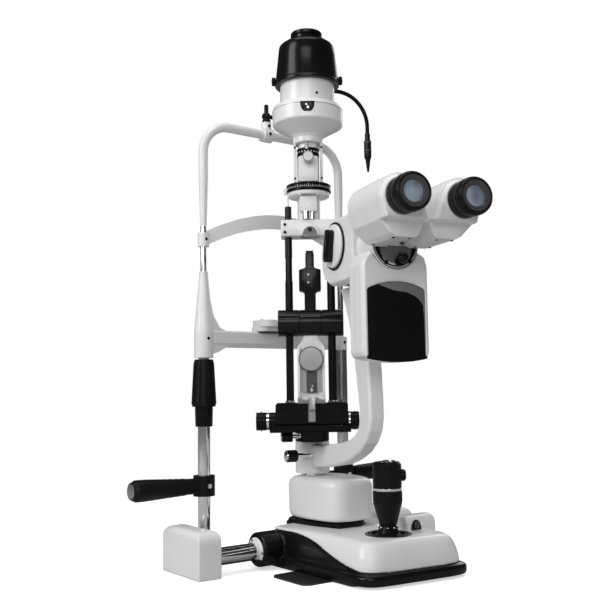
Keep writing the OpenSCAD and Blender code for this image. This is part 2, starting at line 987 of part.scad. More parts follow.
// Steel sleeve that rises over the guide, with the spindle of both arms on top
module lift_column() {
  color(steel)
    difference() {
      union() {
        translate([0, 0, base_top + plinth_h + gap])
          cylinder(d = column_d, h = house_top - 4 - base_top - plinth_h - gap);
        translate([0, 0, house_top - 5])
          cylinder(d = spindle_d, h = 173.5 - house_top + 5);
        translate([0, 0, house_top - 4])
          cylinder(d = 30, h = 5);
      }
      translate([0, 0, 40])
        cylinder(d = column_d - 10 + 2 * fit, h = house_top - 8 - 40);
    }
}

// White housing that rises with the column
module column_housing() {
  z0 = base_top + plinth_h + gap;
  color(ivory)
    difference() {
      union() {
        translate([0, 0, z0])
          linear_extrude(3)
            housing_plan(-3.4);
        translate([0, 0, z0 + 2.9])
          linear_extrude(5)
            housing_plan(-1.4);
        translate([0, 0, z0 + 7.8])
          linear_extrude(house_top - z0 - 13.8)
            housing_plan(0);
        translate([0, 0, house_top - 6])
          linear_extrude(3)
            housing_plan(-1.4);
        translate([0, 0, house_top - 3])
          linear_extrude(3)
            housing_plan(-4.2);
      }
      translate([0, 0, z0 - 1])
        linear_extrude(house_top - z0 - 3)
          difference() {
            housing_plan(-6);
            circle(d = column_d + 8);
          }
      translate([0, 0, z0 - 1])
        cylinder(d = column_d + 2 * fit, h = house_top - 4 - z0 + 1);
      translate([0, 0, z0])
        cylinder(d = 30 + 2 * fit, h = 100);
    }
}

// Side outline of the microscope arm: distance in front, height
arm_outer = concat([[0, 120]], [[7, 120], [60, 124.5], [112, 131.6], [140, 139], [165, 149], [182, 160.6],
  [193, 174], [197.5, 188], [197, 215], [194, 246], [189, 280], [182, 315], [176, 344]]);
arm_inner = [[120, 344], [135, 320], [142, 304], [148, 289], [153, 272], [157, 255], [163, 227],
  [169, 198], [167.5, 186], [162, 175], [152, 168], [138, 162.5], [113, 158], [75, 154],
  [8, 150], [0, 150]];

// Curved white arm that carries the microscope
module scope_arm() {
  color(ivory)
    scope_frame()
      difference() {
        union() {
          sidewise(arm_w - 3)
            polygon(concat(arm_outer, arm_inner));
          sidewise(arm_w)
            polygon(concat([[0, 122]], [[7, 122], [60, 126.5], [112, 133.6], [140, 141],
              [164, 150.8], [180.6, 162], [191, 175], [195.5, 188], [195, 215],
              [192, 246], [187, 280], [180, 315], [174, 344]],
              [[122, 344], [137, 320], [144, 304], [150, 289], [155, 272], [159, 255],
              [165, 227], [171, 198], [169.5, 185], [163.4, 173.4], [153, 166.2],
              [138.6, 160.6], [113, 156], [75, 152], [8, 148], [0, 148]]));
          translate([0, 0, hub_low])
            cylinder(d = hub_d, h = hub_mid - hub_low - gap, $fn = 72);
        }
        translate([0, 0, 80])
          cylinder(d = spindle_d + 2 * fit, h = 100);
        translate([-20, -25, 137.5])
          rotate([0, 90, 0])
            cylinder(d = 5 + 2 * fit, h = 24, $fn = 32);
      }
}

// Outline of the head body from the side: distance in front, height
head_side = [[150, 422], [143, 418], [120, 392], [119, 384], [122, 366], [130, 352], [146, 344.3],
  [198, 344.3], [213, 352], [213, 422]];

// Magnification changer's body, behind the binocular head
module scope_body() {
  color(ivory)
    scope_frame()
      difference() {
        union() {
          sidewise(2 * body_hw - 6)
            polygon(head_side);
          sidewise(2 * body_hw)
            polygon([[152, 420], [146, 416], [123, 391], [122, 384], [125, 368],
              [132, 354], [147, 346.3], [197, 346.3], [213, 353], [213, 420]]);
          translate([0, -213, optic_z - 9])
            rod_forward(56, 38, $fn = 72);
        }
        translate([0, -164, optic_z])
          rod_along_x(14 + 2 * fit, 100);
        translate([0, -164, optic_z])
          rod_along_x(44, 2 * body_hw - 16, $fn = 72);
        for (s = [-11, 11]) {
          translate([s, -100, optic_z])
            rod_forward(17, 160);
          translate([s, -242.5, optic_z])
            rod_forward(20 + 2 * fit, 20);
        }
        translate([3, -241, 360])
          rod_forward(6 + 2 * fit, 20, $fn = 32);
        translate([0, -112, optic_z])
          rod_forward(42 + 2 * fit, 20);
      }
}

// Outline of the front cover, seen from the examiner
module case_outline(e) {
  polygon(concat(
    [for (i = [-6:6]) let (t = i / 6) [t * (case_hw - 6 + e), case_z - e - 0.5 - 4 * (1 - t * t)]],
    [[case_hw - 2 + e, case_z + 2], [case_hw + e, case_z + 7], [case_hw + e, 356],
      [case_hw - 3 + e, 367 + e], [case_hw - 12, 373 + e], [-case_hw + 12, 373 + e],
      [-case_hw + 3 - e, 367 + e], [-case_hw - e, 356], [-case_hw - e, case_z + 7],
      [-case_hw + 2 - e, case_z + 2]]));
}

// White cover in front of the arm, in two halves with a seam at its side
module scope_cover() {
  color(ivory)
    scope_frame()
      difference() {
        union() {
          translate([0, -case_d + case_t + 0.8, 0])
            rod_shape(case_t * 0.42)
              case_outline(-0.6);
          translate([0, -case_d + case_t * 0.6 + 1, 0])
            rod_shape(1.6)
              case_outline(-2);
          translate([0, -case_d + case_t * 0.6, 0])
            rod_shape(case_t * 0.6 - 3)
              case_outline(0);
          translate([0, -case_d + 3.4, 0])
            rod_shape(3.4)
              case_outline(-2.2);
        }
        translate([0, -case_d + case_t, 0])
          rod_shape(case_t - 7)
            intersection() {
              case_outline(-4);
              translate([-60, 200])
                square([120, 148]);
            }
        translate([0, -case_d + 8, optic_z - 9])
          rod_forward(56 + 2 * fit, 20, $fn = 72);
        translate([0, -200, optic_z - 9])
          rod_forward(56 + 2 * fit, 44, $fn = 72);
        translate([0, -case_d + 1.6, 0])
          rod_shape(4)
            panel_outline(0.2);
      }
}

// Runs an outline seen from the examiner forwards
module rod_shape(l) {
  rotate([90, 0, 0])
    linear_extrude(l)
      children();
}

module panel_outline(e) {
  polygon(concat(
    [for (i = [-6:6]) let (t = i / 6) [t * (33 + e), 254.5 - e - 4 * (1 - t * t)]],
    [for (i = [6:-1:-6]) let (t = i / 6) [t * (33 + e) , 330 + e + 8 * (1 - t * t)]]));
}

// Bare dark panel on the front of the cover, bulging a little
module front_panel() {
  color(jet)
    scope_frame()
      intersection() {
        translate([0, -case_d + 1.5, 0])
          rod_shape(8)
            panel_outline(0);
        translate([0, 111.5 - case_d + 1.5, 200])
          cylinder(r = 116.5, h = 200, $fn = 180);
      }
}

// Objective lens that faces the patient
module objective() {
  color(jet)
    scope_frame()
      translate([0, -108.5, optic_z])
        difference() {
          union() {
            rod_forward(50, 10, $fn = 72);
            rod_forward(42, 22, $fn = 64);
          }
          translate([0, 1, 0])
            rod_forward(40, 5, $fn = 64);
          for (s = [-11, 11])
            translate([s, 0, 0])
              rod_forward(17, 40);
        }
}

// Lock screw of the microscope arm
module scope_lock() {
  color(steel)
    scope_frame()
      translate([0, -25, 137.5]) {
        translate([-24, 0, 0])
          rotate([0, 90, 0])
            cylinder(d = 5, h = 22, $fn = 32);
        translate([-37, 0, 0])
          rotate([0, 90, 0])
            cylinder(d = 13, h = 13);
        translate([-45, 0, 0])
          rotate([0, 90, 0])
            cylinder(d1 = 11, d2 = 14, h = 8);
      }
}

// Turning drum of the magnification changer with a knob on both sides
module mag_knobs() {
  color(jet)
    scope_frame()
      translate([0, -164, optic_z]) {
        rod_along_x(14, 2 * body_hw + 4);
        rod_along_x(42, 2 * body_hw - 18, $fn = 72);
        for (side = [-1, 1]) {
          translate([side * (body_hw + gap + 3.5), 0, 0])
            rod_along_x(mag_d, 7, $fn = 96);
          translate([side * (body_hw + gap + 7.5), 0, 0])
            rod_along_x(mag_d - 5, 2, $fn = 96);
          translate([side * (body_hw + gap + 11), 0, 0])
            cube([8, 9, mag_d - 8], center = true);
        }
      }
}

// Ball lever that swings the filter, under the binocular head
module filter_lever() {
  color(jet)
    scope_frame()
      translate([3, -251.3, 360]) {
        translate([0, 10, 0])
          rod_forward(6, 10.5, $fn = 32);
        rod_forward(9, 3);
        rotate([0, 45, 0])
          translate([-2.2, -2.8, 0])
            cube([4.4, 2.4, 7.5]);
        translate([6, 0, 6])
          rod_forward(5, 9, $fn = 32);
        translate([6, -9, 6])
          sphere(d = 12);
      }
}

// Half of the binocular head as seen from the examiner
module prism_outline(e) {
  polygon([[2.6 + e, 393], [4.5 + e, 386], [9, 376 + e], [13, 374.6 + e], [34, 374.6 + e], [41, 378 + e],
    [53 - e, 390], [58 - e, 400], [59 - e, 414], [56.5 - e, 426], [49 - e, 435 - e], [39, 438 - e],
    [27, 437 - e], [18 + e, 431 - e], [12 + e, 421], [6 + e, 407]]);
}

module prism_box() {
  difference() {
    union() {
      translate([0, -252 - 3, 0])
        rod_shape(75)
          prism_outline(0);
      translate([0, -252 - gap, 0])
        rod_shape(81)
          prism_outline(2.4);
      translate([pupil_gap / 2, -330, optic_z + eye_rise])
        rod_forward(49, 5, $fn = 72);
      translate([pupil_gap / 2, -330, optic_z + eye_rise])
        rod_forward(30, 24);
      translate([11, -243, optic_z])
        rod_forward(20, 12);
    }
    translate([0, -322, 370])
      translate([-5, -30, 0])
        cube([70, 30, 20.6]);
    translate([11, -200, optic_z])
      rod_forward(16, 90);
    translate([pupil_gap / 2, -270, optic_z + eye_rise])
      rod_forward(24, 100);
    translate([10, -285, optic_z - 8])
      cube([28, 14, 32]);
  }
}

// Left half of the binocular head, swings to set the eye distance
module left_prism_box() {
  color(ivory)
    scope_frame()
      mirror([1, 0, 0])
        prism_box();
}

// Right half of the binocular head
module right_prism_box() {
  color(ivory)
    scope_frame()
      prism_box();
}

module eyepiece() {
  translate([pupil_gap / 2, -335 - gap, optic_z + eye_rise])
    difference() {
      union() {
        rod_forward(cup_d - 1, 9, $fn = 72);
        translate([0, -9, 0])
          rod_forward(cup_d - 3, 3, $fn = 72);
        translate([0, -11, 0])
          rod_forward(cup_d, 11, $fn = 72);
        translate([0, -22, 0])
          rotate([90, 0, 0])
            cylinder(d1 = cup_d, d2 = cup_d - 6, h = eye_d - 335 - 22 - gap, $fn = 72);
      }
      translate([0, 1, 0])
        rod_forward(30 + 2 * fit, 20);
      translate([0, 1, 0])
        rod_forward(22, 60);
      translate([0, -22, 0])
        rod_forward(26, 30);
      translate([0, -26, 0])
        rotate([90, 0, 0])
          cylinder(d1 = 26, d2 = 34, h = 6);
    }
}

// Left eyepiece: dioptre ring and rubber eyecup
module left_eyepiece() {
  color(jet)
    scope_frame()
      mirror([1, 0, 0])
        eyepiece();
}

// Right eyepiece: dioptre ring and rubber eyecup
module right_eyepiece() {
  color(jet)
    scope_frame()
      eyepiece();
}

// Arm of the illuminator with the cradle its tower tilts in
module illum_arm() {
  color(jet)
    illum_frame()
      difference() {
        union() {
          translate([0, 0, hub_mid])
            cylinder(d = hub_d, h = 169 - hub_mid, $fn = 72);
          translate([-14, -tower_r - 12, 157])
            cube([28, tower_r + 12, 12.5]);
          translate([-53, -tower_r - 13, 169])
            cube([102, 26, cradle_top - 169]);
          translate([0, -tower_r, 0]) {
            translate([-53.3, 0, tilt_z])
              rotate([0, 90, 0])
                cylinder(r = 11.3, h = 7.3, $fn = 64);
            translate([-53.3, -11, 170])
              cube([7.3, 22, tilt_z - 170]);
            translate([46, 0, tilt_z])
              rotate([0, 90, 0])
                cylinder(r = 11.3, h = 3, $fn = 64);
            translate([46, -11, 170])
              cube([3, 22, tilt_z - 170]);
          }
        }
        translate([0, 0, 100])
          cylinder(d = spindle_d + 2 * fit, h = 100);
        translate([-60, -tower_r, tilt_z])
          rotate([0, 90, 0])
            cylinder(d = 12 + 2 * fit, h = 120);
        translate([-20, -35, 163])
          rotate([0, 90, 0])
            cylinder(d = 5 + 2 * fit, h = 30, $fn = 32);
      }
}

// Lock screw of the illuminator's arm
module illum_lock() {
  color(steel)
    illum_frame()
      translate([0, -35, 163]) {
        translate([-19, 0, 0])
          rotate([0, 90, 0])
            cylinder(d = 5, h = 22, $fn = 32);
        translate([-29.6, 0, 0])
          rotate([0, 90, 0])
            cylinder(d = 12, h = 12);
        translate([-37.6, 0, 0])
          rotate([0, 90, 0])
            cylinder(d1 = 10, d2 = 12, h = 8);
      }
}

// Black block that carries the tower and tilts on two trunnions
module tilt_block() {
  color(jet)
    tower_frame()
      difference() {
        union() {
          translate([-block_hw, -block_t / 2, tilt_z - 3.5])
            cube([2 * block_hw, block_t, 24.5]);
          translate([-block_hw + 1.5, -block_t / 2 + 1.5, tilt_z + 20])
            cube([2 * block_hw - 3, block_t - 3, 3]);
          translate([-53, 0, tilt_z])
            rotate([0, 90, 0])
              cylinder(d = 12, h = 101.8);
        }
        translate([-60, 0, tilt_z])
          rotate([0, 90, 0])
            cylinder(d = 6 + 2 * fit, h = 120, $fn = 32);
        for (x = [-rod_x, rod_x])
          translate([x, 0, tilt_z + 10])
            cylinder(d = 8.6 + 2 * fit, h = 30);
        translate([-4.6, -block_t / 2 - 1, tilt_z - 4])
          cube([9.2, 6.2, 40]);
      }
}

// Two black rods of the tower with the clamping barrels across them
module tower_rods() {
  color(jet)
    tower_frame()
      union() {
        translate([-rod_x, 0, tilt_z + 10])
          cylinder(d = 8.6, h = 462 - tilt_z - 10);
        translate([-rod_x, 0, 390])
          cylinder(d = 9.6, h = slit_z - 390 - gap);
        translate([rod_x, 0, tilt_z + 10])
          cylinder(d = 8.6, h = slit_z + 10 - tilt_z - 10);
        translate([rod_x, 0, 207])
          cylinder(d = 10.4, h = 160);
        for (x = [-rod_x - 1, 0, rod_x + 1])
          translate([x, 0, 0]) {
            translate([0, 0, 289.5])
              cylinder(d = 28, h = 33);
            translate([0, 0, 288])
              cylinder(d = 25, h = 36);
          }
      }
}

// White upright plate between the rods
module tower_tongue() {
  color(ivory)
    tower_frame()
      difference() {
        union() {
          translate([-17.4, -7, tilt_z + 23.2])
            cube([34.8, 14, 6]);
          translate([-17.4, -6, 212])
            cube([34.8, 9, 60]);
          translate([0, -6 + 9, 270])
            rotate([90, 0, 0])
              cylinder(r = 17.4, h = 9, $fn = 72);
        }
        translate([-9, -20, 214])
          cube([18, 16, 31]);
        translate([0, 10, 261])
          rod_forward(8 + 2 * fit, 30);
        translate([-30, -30, 287.8])
          cube([60, 60, 20]);
      }
}

// Round knob on the tongue that centres the slit image
module centring_knob() {
  color(ivory)
    tower_frame()
      translate([0, -6 - gap, 261]) {
        translate([0, 8, 0])
          rod_forward(8, 10);
        rod_forward(31.4, 6, $fn = 72);
        translate([0, -5.8, 0])
          rod_forward(28, 2, $fn = 72);
      }
}

// Narrow black holder that stands the mirror in the light beam
module mirror_holder() {
  color(jet)
    tower_frame()
      union() {
        translate([-7.4, -6, 324])
          cube([14.8, 12, 23]);
        translate([-14.2, -9, 350])
          cube([28.4, 18, 23]);
        translate([0, 9, 0])
          rotate([90, 0, 0])
            linear_extrude(18)
              polygon([[-7.4, 346], [7.4, 346], [14.2, 351], [14.2, 371], [8, 377], [-8, 377],
                [-14.2, 371], [-14.2, 351]]);
        rotate([90, 0, 90])
          linear_extrude(11.4, center = true)
            polygon([[-9, 376], [9, 376], [9, 377.5], [-9, 396], [-9, 401], [-12, 401], [-12, 376]]);
      }
}

// Front mirror that turns the beam towards the patient
module mirror_glass() {
  tilt = atan2(18.5, 18);
  color(glass)
    tower_frame()
      translate([0, 9, 377.5])
        rotate([-tilt, 0, 0])
          translate([-5.6, -25, 0.1])
            cube([11.2, 25, 1.6]);
}

// White plate over the rods that carries the slit optics
module lens_plate() {
  color(ivory)
    tower_frame()
      difference() {
        union() {
          translate([-36.5, -16, slit_z])
            cube([70, 32, slit_h - 2]);
          translate([-35, -14.5, slit_z])
            cube([67, 29, slit_h]);
          translate([0, 0, slit_z])
            cylinder(d = 38, h = slit_h, $fn = 72);
          translate([0, 0, slit_z - 9])
            cylinder(d = 28, h = 10);
        }
        translate([0, 0, slit_z - 10])
          cylinder(d = 18, h = slit_h + 12);
        translate([0, 0, slit_z - 10])
          cylinder(d1 = 24, d2 = 18, h = 6);
        for (x = [-rod_x])
          translate([x, 0, slit_z - 1])
            cylinder(d = 8.6 + 2 * fit, h = 60);
        translate([rod_x, 0, slit_z - 1])
          cylinder(d = 8.6 + 2 * fit, h = 11.2);
      }
}

// Push plate that frees the tower for tilting
module tilt_latch() {
  color(steel)
    tower_frame()
      union() {
        translate([-4.5, -block_t / 2 - 2, tilt_z - 1])
          cube([9, 5, 24.6]);
        translate([-4.5, -block_t / 2 - 4, tilt_z + 12])
          cube([9, 4, 3]);
      }
}

// Slit width knobs on one shaft through the tilt block
module slit_knobs() {
  color(jet)
    tower_frame()
      translate([0, 0, tilt_z]) {
        translate([-60, 0, 0])
          rotate([0, 90, 0])
            cylinder(d = 6, h = 114, $fn = 32);
        translate([-57.8, 0, 0])
          rotate([0, 90, 0])
            cylinder(r = 10.6, h = 4.2, $fn = 64);
        translate([-70.4, 0, 0])
          rotate([0, 90, 0])
            cylinder(r = 11.3, h = 12.7, $fn = 64);
        translate([49 + gap, 0, 0])
          rotate([0, 90, 0])
            cylinder(r = 11.3, h = 10.4, $fn = 64);
      }
}

// White barrel over the plate with the slit inside it
module slit_barrel() {
  color(ivory)
    tower_frame()
      difference() {
        union() {
          translate([0, 0, slit_z + slit_h])
            cylinder(d = 29.2, h = dial_z - 4 - slit_z - slit_h, $fn = 64);
          translate([0, 0, dial_z - 5])
            cylinder(d = 42, h = 5 - gap, $fn = 64);
          translate([0, 0, dial_z - 1])
            cylinder(d = 18, h = 17);
        }
        translate([0, 0, slit_z])
          cylinder(d = 14, h = 100);
        translate([-9, -20, slit_z + slit_h + 4])
          cube([18, 16, 12]);
      }
}

// Graduated dial that turns the slit
module slit_dial() {
  color(jet)
    tower_frame()
      difference() {
        union() {
          translate([0, 0, dial_z])
            cylinder(d = dial_d, h = 4, $fn = 96);
          translate([0, 0, dial_z + 3.9])
            cylinder(d = dial_d - 2.4, h = 8.2, $fn = 96);
          translate([0, 0, dial_z + 12])
            cylinder(d = dial_d - 5, h = 4 - gap, $fn = 96);
        }
        translate([0, 0, dial_z - 1])
          cylinder(d = 18 + 2 * fit, h = 30);
      }
}

// Condenser housing between the dial and the lamp, with its two side rails
module condenser() {
  z0 = dial_z + 16;
  color(ivory)
    tower_frame()
      difference() {
        union() {
          translate([0, 0, z0])
            cylinder(d = 27.6, h = 33, $fn = 64);
          translate([0, 0, 520])
            cylinder(d = 22, h = 29);
          translate([0, 0, 541 + gap])
            cylinder(d = 27.6, h = 8 - gap, $fn = 64);
          for (x = [-21, 17.2])
            translate([x, -8, z0])
              cube([3.8, 16, 56]);
          translate([-21, -8, z0])
            cube([42, 16, 4]);
          translate([-21, -8, 545])
            cube([42, 16, 4]);
        }
        translate([0, 0, z0 - 5])
          cylinder(d = 16, h = 80);
        translate([0, 0, z0 - 5])
          cylinder(d = 18 + 2 * fit, h = 6.2);
        translate([0, 0, 518])
          rod_forward(5 + 2 * fit, 30, $fn = 32);
        translate([0, -13, 509])
          translate([-8.4, -10, 0])
            cube([16.8, 10, 17]);
      }
}

// Black ring with a tab that sets the aperture
module aperture_ring() {
  color(jet)
    tower_frame()
      difference() {
        union() {
          translate([0, 0, 526 + gap])
            cylinder(d = 29, h = 15 - gap, $fn = 64);
          translate([-2.5, -18.5, 530])
            cube([5, 6, 7]);
        }
        translate([0, 0, 520])
          cylinder(d = 22 + 2 * fit, h = 30);
      }
}

// Bright filter knob at the front of the condenser
module filter_knob() {
  color(steel)
    tower_frame()
      translate([0, -13 - gap, 518]) {
        translate([0, 4, 0])
          rod_forward(5, 6, $fn = 32);
        rod_forward(14.6, 5);
        translate([0, -4.8, 0])
          rod_forward(12, 1.6);
      }
}

// White lamp head: cone, flange wall and collar, open inside
module lamp_head() {
  profile = [[10, 549], [19.6, 549], [22, 552], [45, flange_z], [flange_d / 2, flange_z + 2],
    [flange_d / 2, flange_z + 20], [44, flange_z + 25], [37, flange_z + 25.6],
    [collar_d / 2, flange_z + 27], [collar_d / 2, 640], [32, 640], [32, 590], [41, 586],
    [41, 570], [21, 556], [10, 556]];
  color(ivory)
    tower_frame()
      difference() {
        rotate_extrude($fn = 96)
          polygon(profile);
        for (side = [-1, 1])
          translate([side * 28, 0, 627])
            rotate([0, side * 90, 0])
              cylinder(d = 4, h = 12, $fn = 24);
      }
}

// Black heat cap over the lamp
module lamp_cap() {
  r = cap_d / 2;
  in = collar_d / 2 + fit;
  profile = [[in, 616], [r - 0.4, 616], [r, 618], [r - 0.2, 634], [r - 0.6, 650], [r - 2, 668],
    [r - 5, 679], [r - 9, 682.5], [21, 683.4], [21, cap_top - 1.5], [19, cap_top], [0, cap_top],
    [0, cap_top - 4], [17, cap_top - 4], [17, 679.5], [r - 10, 678.5], [in - 1, 660], [in - 1, 641],
    [in, 641]];
  color(jet)
    tower_frame()
      difference() {
        rotate_extrude($fn = 96)
          polygon(profile);
        for (side = [-1, 1])
          translate([side * 28, 0, 627])
            rotate([0, side * 90, 0])
              cylinder(d = 4 + 2 * fit, h = 30, $fn = 24);
        for (a = [0:30:330])
          rotate([0, 0, a])
            translate([14, -2, cap_top - 7])
              cube([9, 4, 3.4]);
      }
}

// Holder and bulb of the lamp, inside the collar
module lamp_bulb() {
  color(brass_tone)
    tower_frame()
      union() {
        translate([0, 0, 604])
          difference() {
            cylinder(d = 63.8, h = 5, $fn = 64);
            for (a = [45:90:315])
              rotate([0, 0, a])
                translate([21, 0, -1])
                  cylinder(d = 12, h = 8, $fn = 32);
          }
        translate([0, 0, 586])
          cylinder(d = 14, h = 40);
        translate([0, 0, 586])
          sphere(d = 14);
      }
}

module cap_screw() {
  translate([0, 0, 627])
    rotate([0, 90, 0]) {
      translate([0, 0, 32.5])
        cylinder(d = 4, h = 12, $fn = 24);
      translate([0, 0, cap_d / 2 + gap])
        cylinder(d = 11, h = 5);
    }
}

// Thumb screws that hold the lamp cap
module cap_screws() {
  color(jet)
    tower_frame() {
      cap_screw();
      mirror([1, 0, 0])
        cap_screw();
    }
}

track_plate();
rail_covers();
rail_bases();
lower_posts();
upper_rods();
head_frame();
forehead_band();
fixation_clamp();
chin_bar();
chin_cup();
height_knob();
left_handle();
right_handle();
fixation_arm();
cross_axle();
wheel_set();
base_chassis();
base_cover();
axle_bushes();
lift_guide();
lock_lever();
joystick_gimbal();
joystick_stem();
joystick_grip();
trigger();
top_button();
lift_column();
column_housing();
scope_arm();
scope_body();
scope_cover();
front_panel();
objective();
scope_lock();
mag_knobs();
filter_lever();
left_prism_box();
left_eyepiece();
right_prism_box();
right_eyepiece();
illum_arm();
illum_lock();
tilt_block();
tower_rods();
tower_tongue();
centring_knob();
mirror_holder();
mirror_glass();
lens_plate();
tilt_latch();
slit_knobs();
slit_barrel();
slit_dial();
condenser();
aperture_ring();
filter_knob();
lamp_head();
lamp_cap();
lamp_bulb();
cap_screws();
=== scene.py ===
"""Dresses a slit lamp: fittings, scales, lenses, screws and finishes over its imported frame."""
import json
from math import atan2, cos, pi, radians, sin, sqrt

import bmesh
import bpy
from bpy.props import FloatProperty, IntProperty, PointerProperty
from mathutils import Matrix, Vector


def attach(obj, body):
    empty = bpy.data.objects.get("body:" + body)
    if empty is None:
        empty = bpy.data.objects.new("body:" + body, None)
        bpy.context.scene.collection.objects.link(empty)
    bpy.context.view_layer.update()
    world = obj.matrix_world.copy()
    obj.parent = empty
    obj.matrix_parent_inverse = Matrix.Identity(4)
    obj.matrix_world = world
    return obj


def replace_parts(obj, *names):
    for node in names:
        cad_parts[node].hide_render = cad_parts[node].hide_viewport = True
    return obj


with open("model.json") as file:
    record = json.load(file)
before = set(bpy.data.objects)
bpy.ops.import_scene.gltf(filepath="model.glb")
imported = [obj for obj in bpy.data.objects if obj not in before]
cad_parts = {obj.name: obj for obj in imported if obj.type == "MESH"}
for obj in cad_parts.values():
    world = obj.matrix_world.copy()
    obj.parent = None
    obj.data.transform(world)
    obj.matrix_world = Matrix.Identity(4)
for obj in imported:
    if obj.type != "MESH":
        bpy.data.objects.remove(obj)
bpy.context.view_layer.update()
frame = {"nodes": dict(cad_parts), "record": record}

bl_info = {
    "name": "Slit lamp dressing",
    "version": (1, 0, 0),
    "blender": (4, 5, 0),
    "location": "3D View > Sidebar > Slit lamp",
    "description": "Adds the fittings, scales, lenses and finishes of a slit lamp",
    "category": "Add Mesh",
}

MM = 0.001
HERE = Matrix.Identity(4)
CAMERA_AZIMUTH = radians(-37)
TURN_ILLUM = radians(-37)
TURN_SCOPE = radians(-15)
TOWER_OUT = 60
JOYSTICK = (3, -144)
LEFT_POST, RIGHT_POST, POSTS_BACK = -131, 101, 60
HANDLES_UP = 101
DRUM_AXIS = 389
ROD = 27
BARREL_AXIS = 307.4
CENTRING_AXIS = 261
FILTER_AXIS = 518
OCULAR_HALF, OCULAR_UP = 35, 412.6
PANEL_WIDER, PANEL_SHIFT, PANEL_BOW = 1.11, 1.2, 116.5


# Places

def moved(x, y, z):
    """A shift in millimetres."""
    return Matrix.Translation(Vector((x, y, z)))


def turned(angle, axis):
    """A turn in degrees."""
    return Matrix.Rotation(radians(angle), 4, axis)


def tower(x, y, z):
    """A place on the illuminator's tower, in millimetres: across, back, up."""
    return Matrix.Rotation(TURN_ILLUM, 4, "Z") @ moved(x, y - TOWER_OUT, z)


def scope(x, out, z):
    """A place on the microscope, in millimetres: across, out from the axis, up."""
    return Matrix.Rotation(TURN_SCOPE, 4, "Z") @ moved(x, -out, z)


FORWARD = turned(90, "X")
BACKWARD = turned(-90, "X")
DOWNWARD = turned(180, "X")
LEFTWARD = turned(-90, "Y")
RIGHTWARD = turned(90, "Y")
SIDEWAYS = Matrix(((0, 0, -1, 0), (1, 0, 0, 0), (0, 1, 0, 0), (0, 0, 0, 1)))


# Meshes

def finish_mesh(name, bm, place, body, look, smooth=35):
    """Turns a bmesh drawn in millimetres into a piece that rides on a body."""
    bmesh.ops.remove_doubles(bm, verts=bm.verts, dist=1e-5)
    bmesh.ops.recalc_face_normals(bm, faces=bm.faces)
    bm.transform(Matrix.Scale(MM, 4) @ place)
    mesh = bpy.data.meshes.new(name)
    bm.to_mesh(mesh)
    bm.free()
    mesh.materials.append(finish(look))
    piece = bpy.data.objects.new(name, mesh)
    bpy.context.scene.collection.objects.link(piece)
    shade(mesh, smooth)
    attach(piece, body)
    return piece


def shade(mesh, smooth=None):
    """Smooth faces, with the edges above an angle in degrees kept sharp."""
    for polygon in mesh.polygons:
        polygon.use_smooth = True
    if smooth:
        mesh.set_sharp_from_angle(angle=radians(smooth))


def applied(piece):
    """Makes what a piece's modifiers show its own mesh."""
    bpy.context.view_layer.update()
    seen = piece.evaluated_get(bpy.context.evaluated_depsgraph_get())
    mesh = bpy.data.meshes.new_from_object(seen)
    piece.modifiers.clear()
    piece.data = mesh
    return piece


def moulded(piece, voxel=0.9, passes=8):
    """Fuses a piece's overlapping solids into one moulded form with soft edges."""
    fuse = piece.modifiers.new("fuse", "REMESH")
    fuse.mode = "VOXEL"
    fuse.voxel_size = voxel * MM
    ease = piece.modifiers.new("ease", "SMOOTH")
    ease.factor = 0.5
    ease.iterations = passes
    shade(applied(piece).data)
    return piece


def carved(piece, bm, operation="DIFFERENCE"):
    """Cuts a piece by a solid drawn in millimetres, or keeps only what lies in it."""
    bmesh.ops.recalc_face_normals(bm, faces=bm.faces)
    bm.transform(Matrix.Scale(MM, 4))
    mesh = bpy.data.meshes.new("cutter")
    bm.to_mesh(mesh)
    bm.free()
    cutter = bpy.data.objects.new("cutter", mesh)
    bpy.context.scene.collection.objects.link(cutter)
    cut = piece.modifiers.new("cut", "BOOLEAN")
    cut.operation = operation
    cut.object = cutter
    applied(piece)
    bpy.data.objects.remove(cutter)
    return piece


def joined(piece, bm):
    """Adds solids drawn in millimetres to a piece's mesh."""
    bm.transform(Matrix.Scale(MM, 4))
    bm.from_mesh(piece.data)
    bm.to_mesh(piece.data)
    bm.free()


def linked(verts):
    """Every vertex that edges join to the given ones."""
    reached = set(verts)
    grown = list(verts)
    while grown:
        vert = grown.pop()
        for edge in vert.link_edges:
            other = edge.other_vert(vert)
            if other not in reached:
                reached.add(other)
                grown.append(other)
    return list(reached)


def add_loft(bm, rings):
    """A closed solid through rings of (x, y, z) points that run the same way round."""
    made = [[bm.verts.new(point) for point in ring] for ring in rings]
    for low, high in zip(made, made[1:]):
        for i in range(len(low)):
            j = (i + 1) % len(low)
            bm.faces.new((low[i], low[j], high[j], high[i]))
    bm.faces.new(made[0][::-1])
    bm.faces.new(made[-1])


def add_lathe(bm, profile, place=HERE, steps=64):
    """A profile of (radius, height) points turned full round the local Z axis."""
    made = [bm.verts.new((r, 0, z)) for r, z in profile]
    edges = [bm.edges.new((made[i], made[i + 1])) for i in range(len(made) - 1)]
    if profile[0][0] > 0 and profile[-1][0] > 0:
        edges.append(bm.edges.new((made[-1], made[0])))
    result = bmesh.ops.spin(bm, geom=made + edges, cent=(0, 0, 0), axis=(0, 0, 1), angle=2 * pi,
                            steps=steps, use_merge=True)
    last = {v for v in result["geom_last"] if isinstance(v, bmesh.types.BMVert)}
    bmesh.ops.transform(bm, matrix=place, verts=linked(set(made) | last))


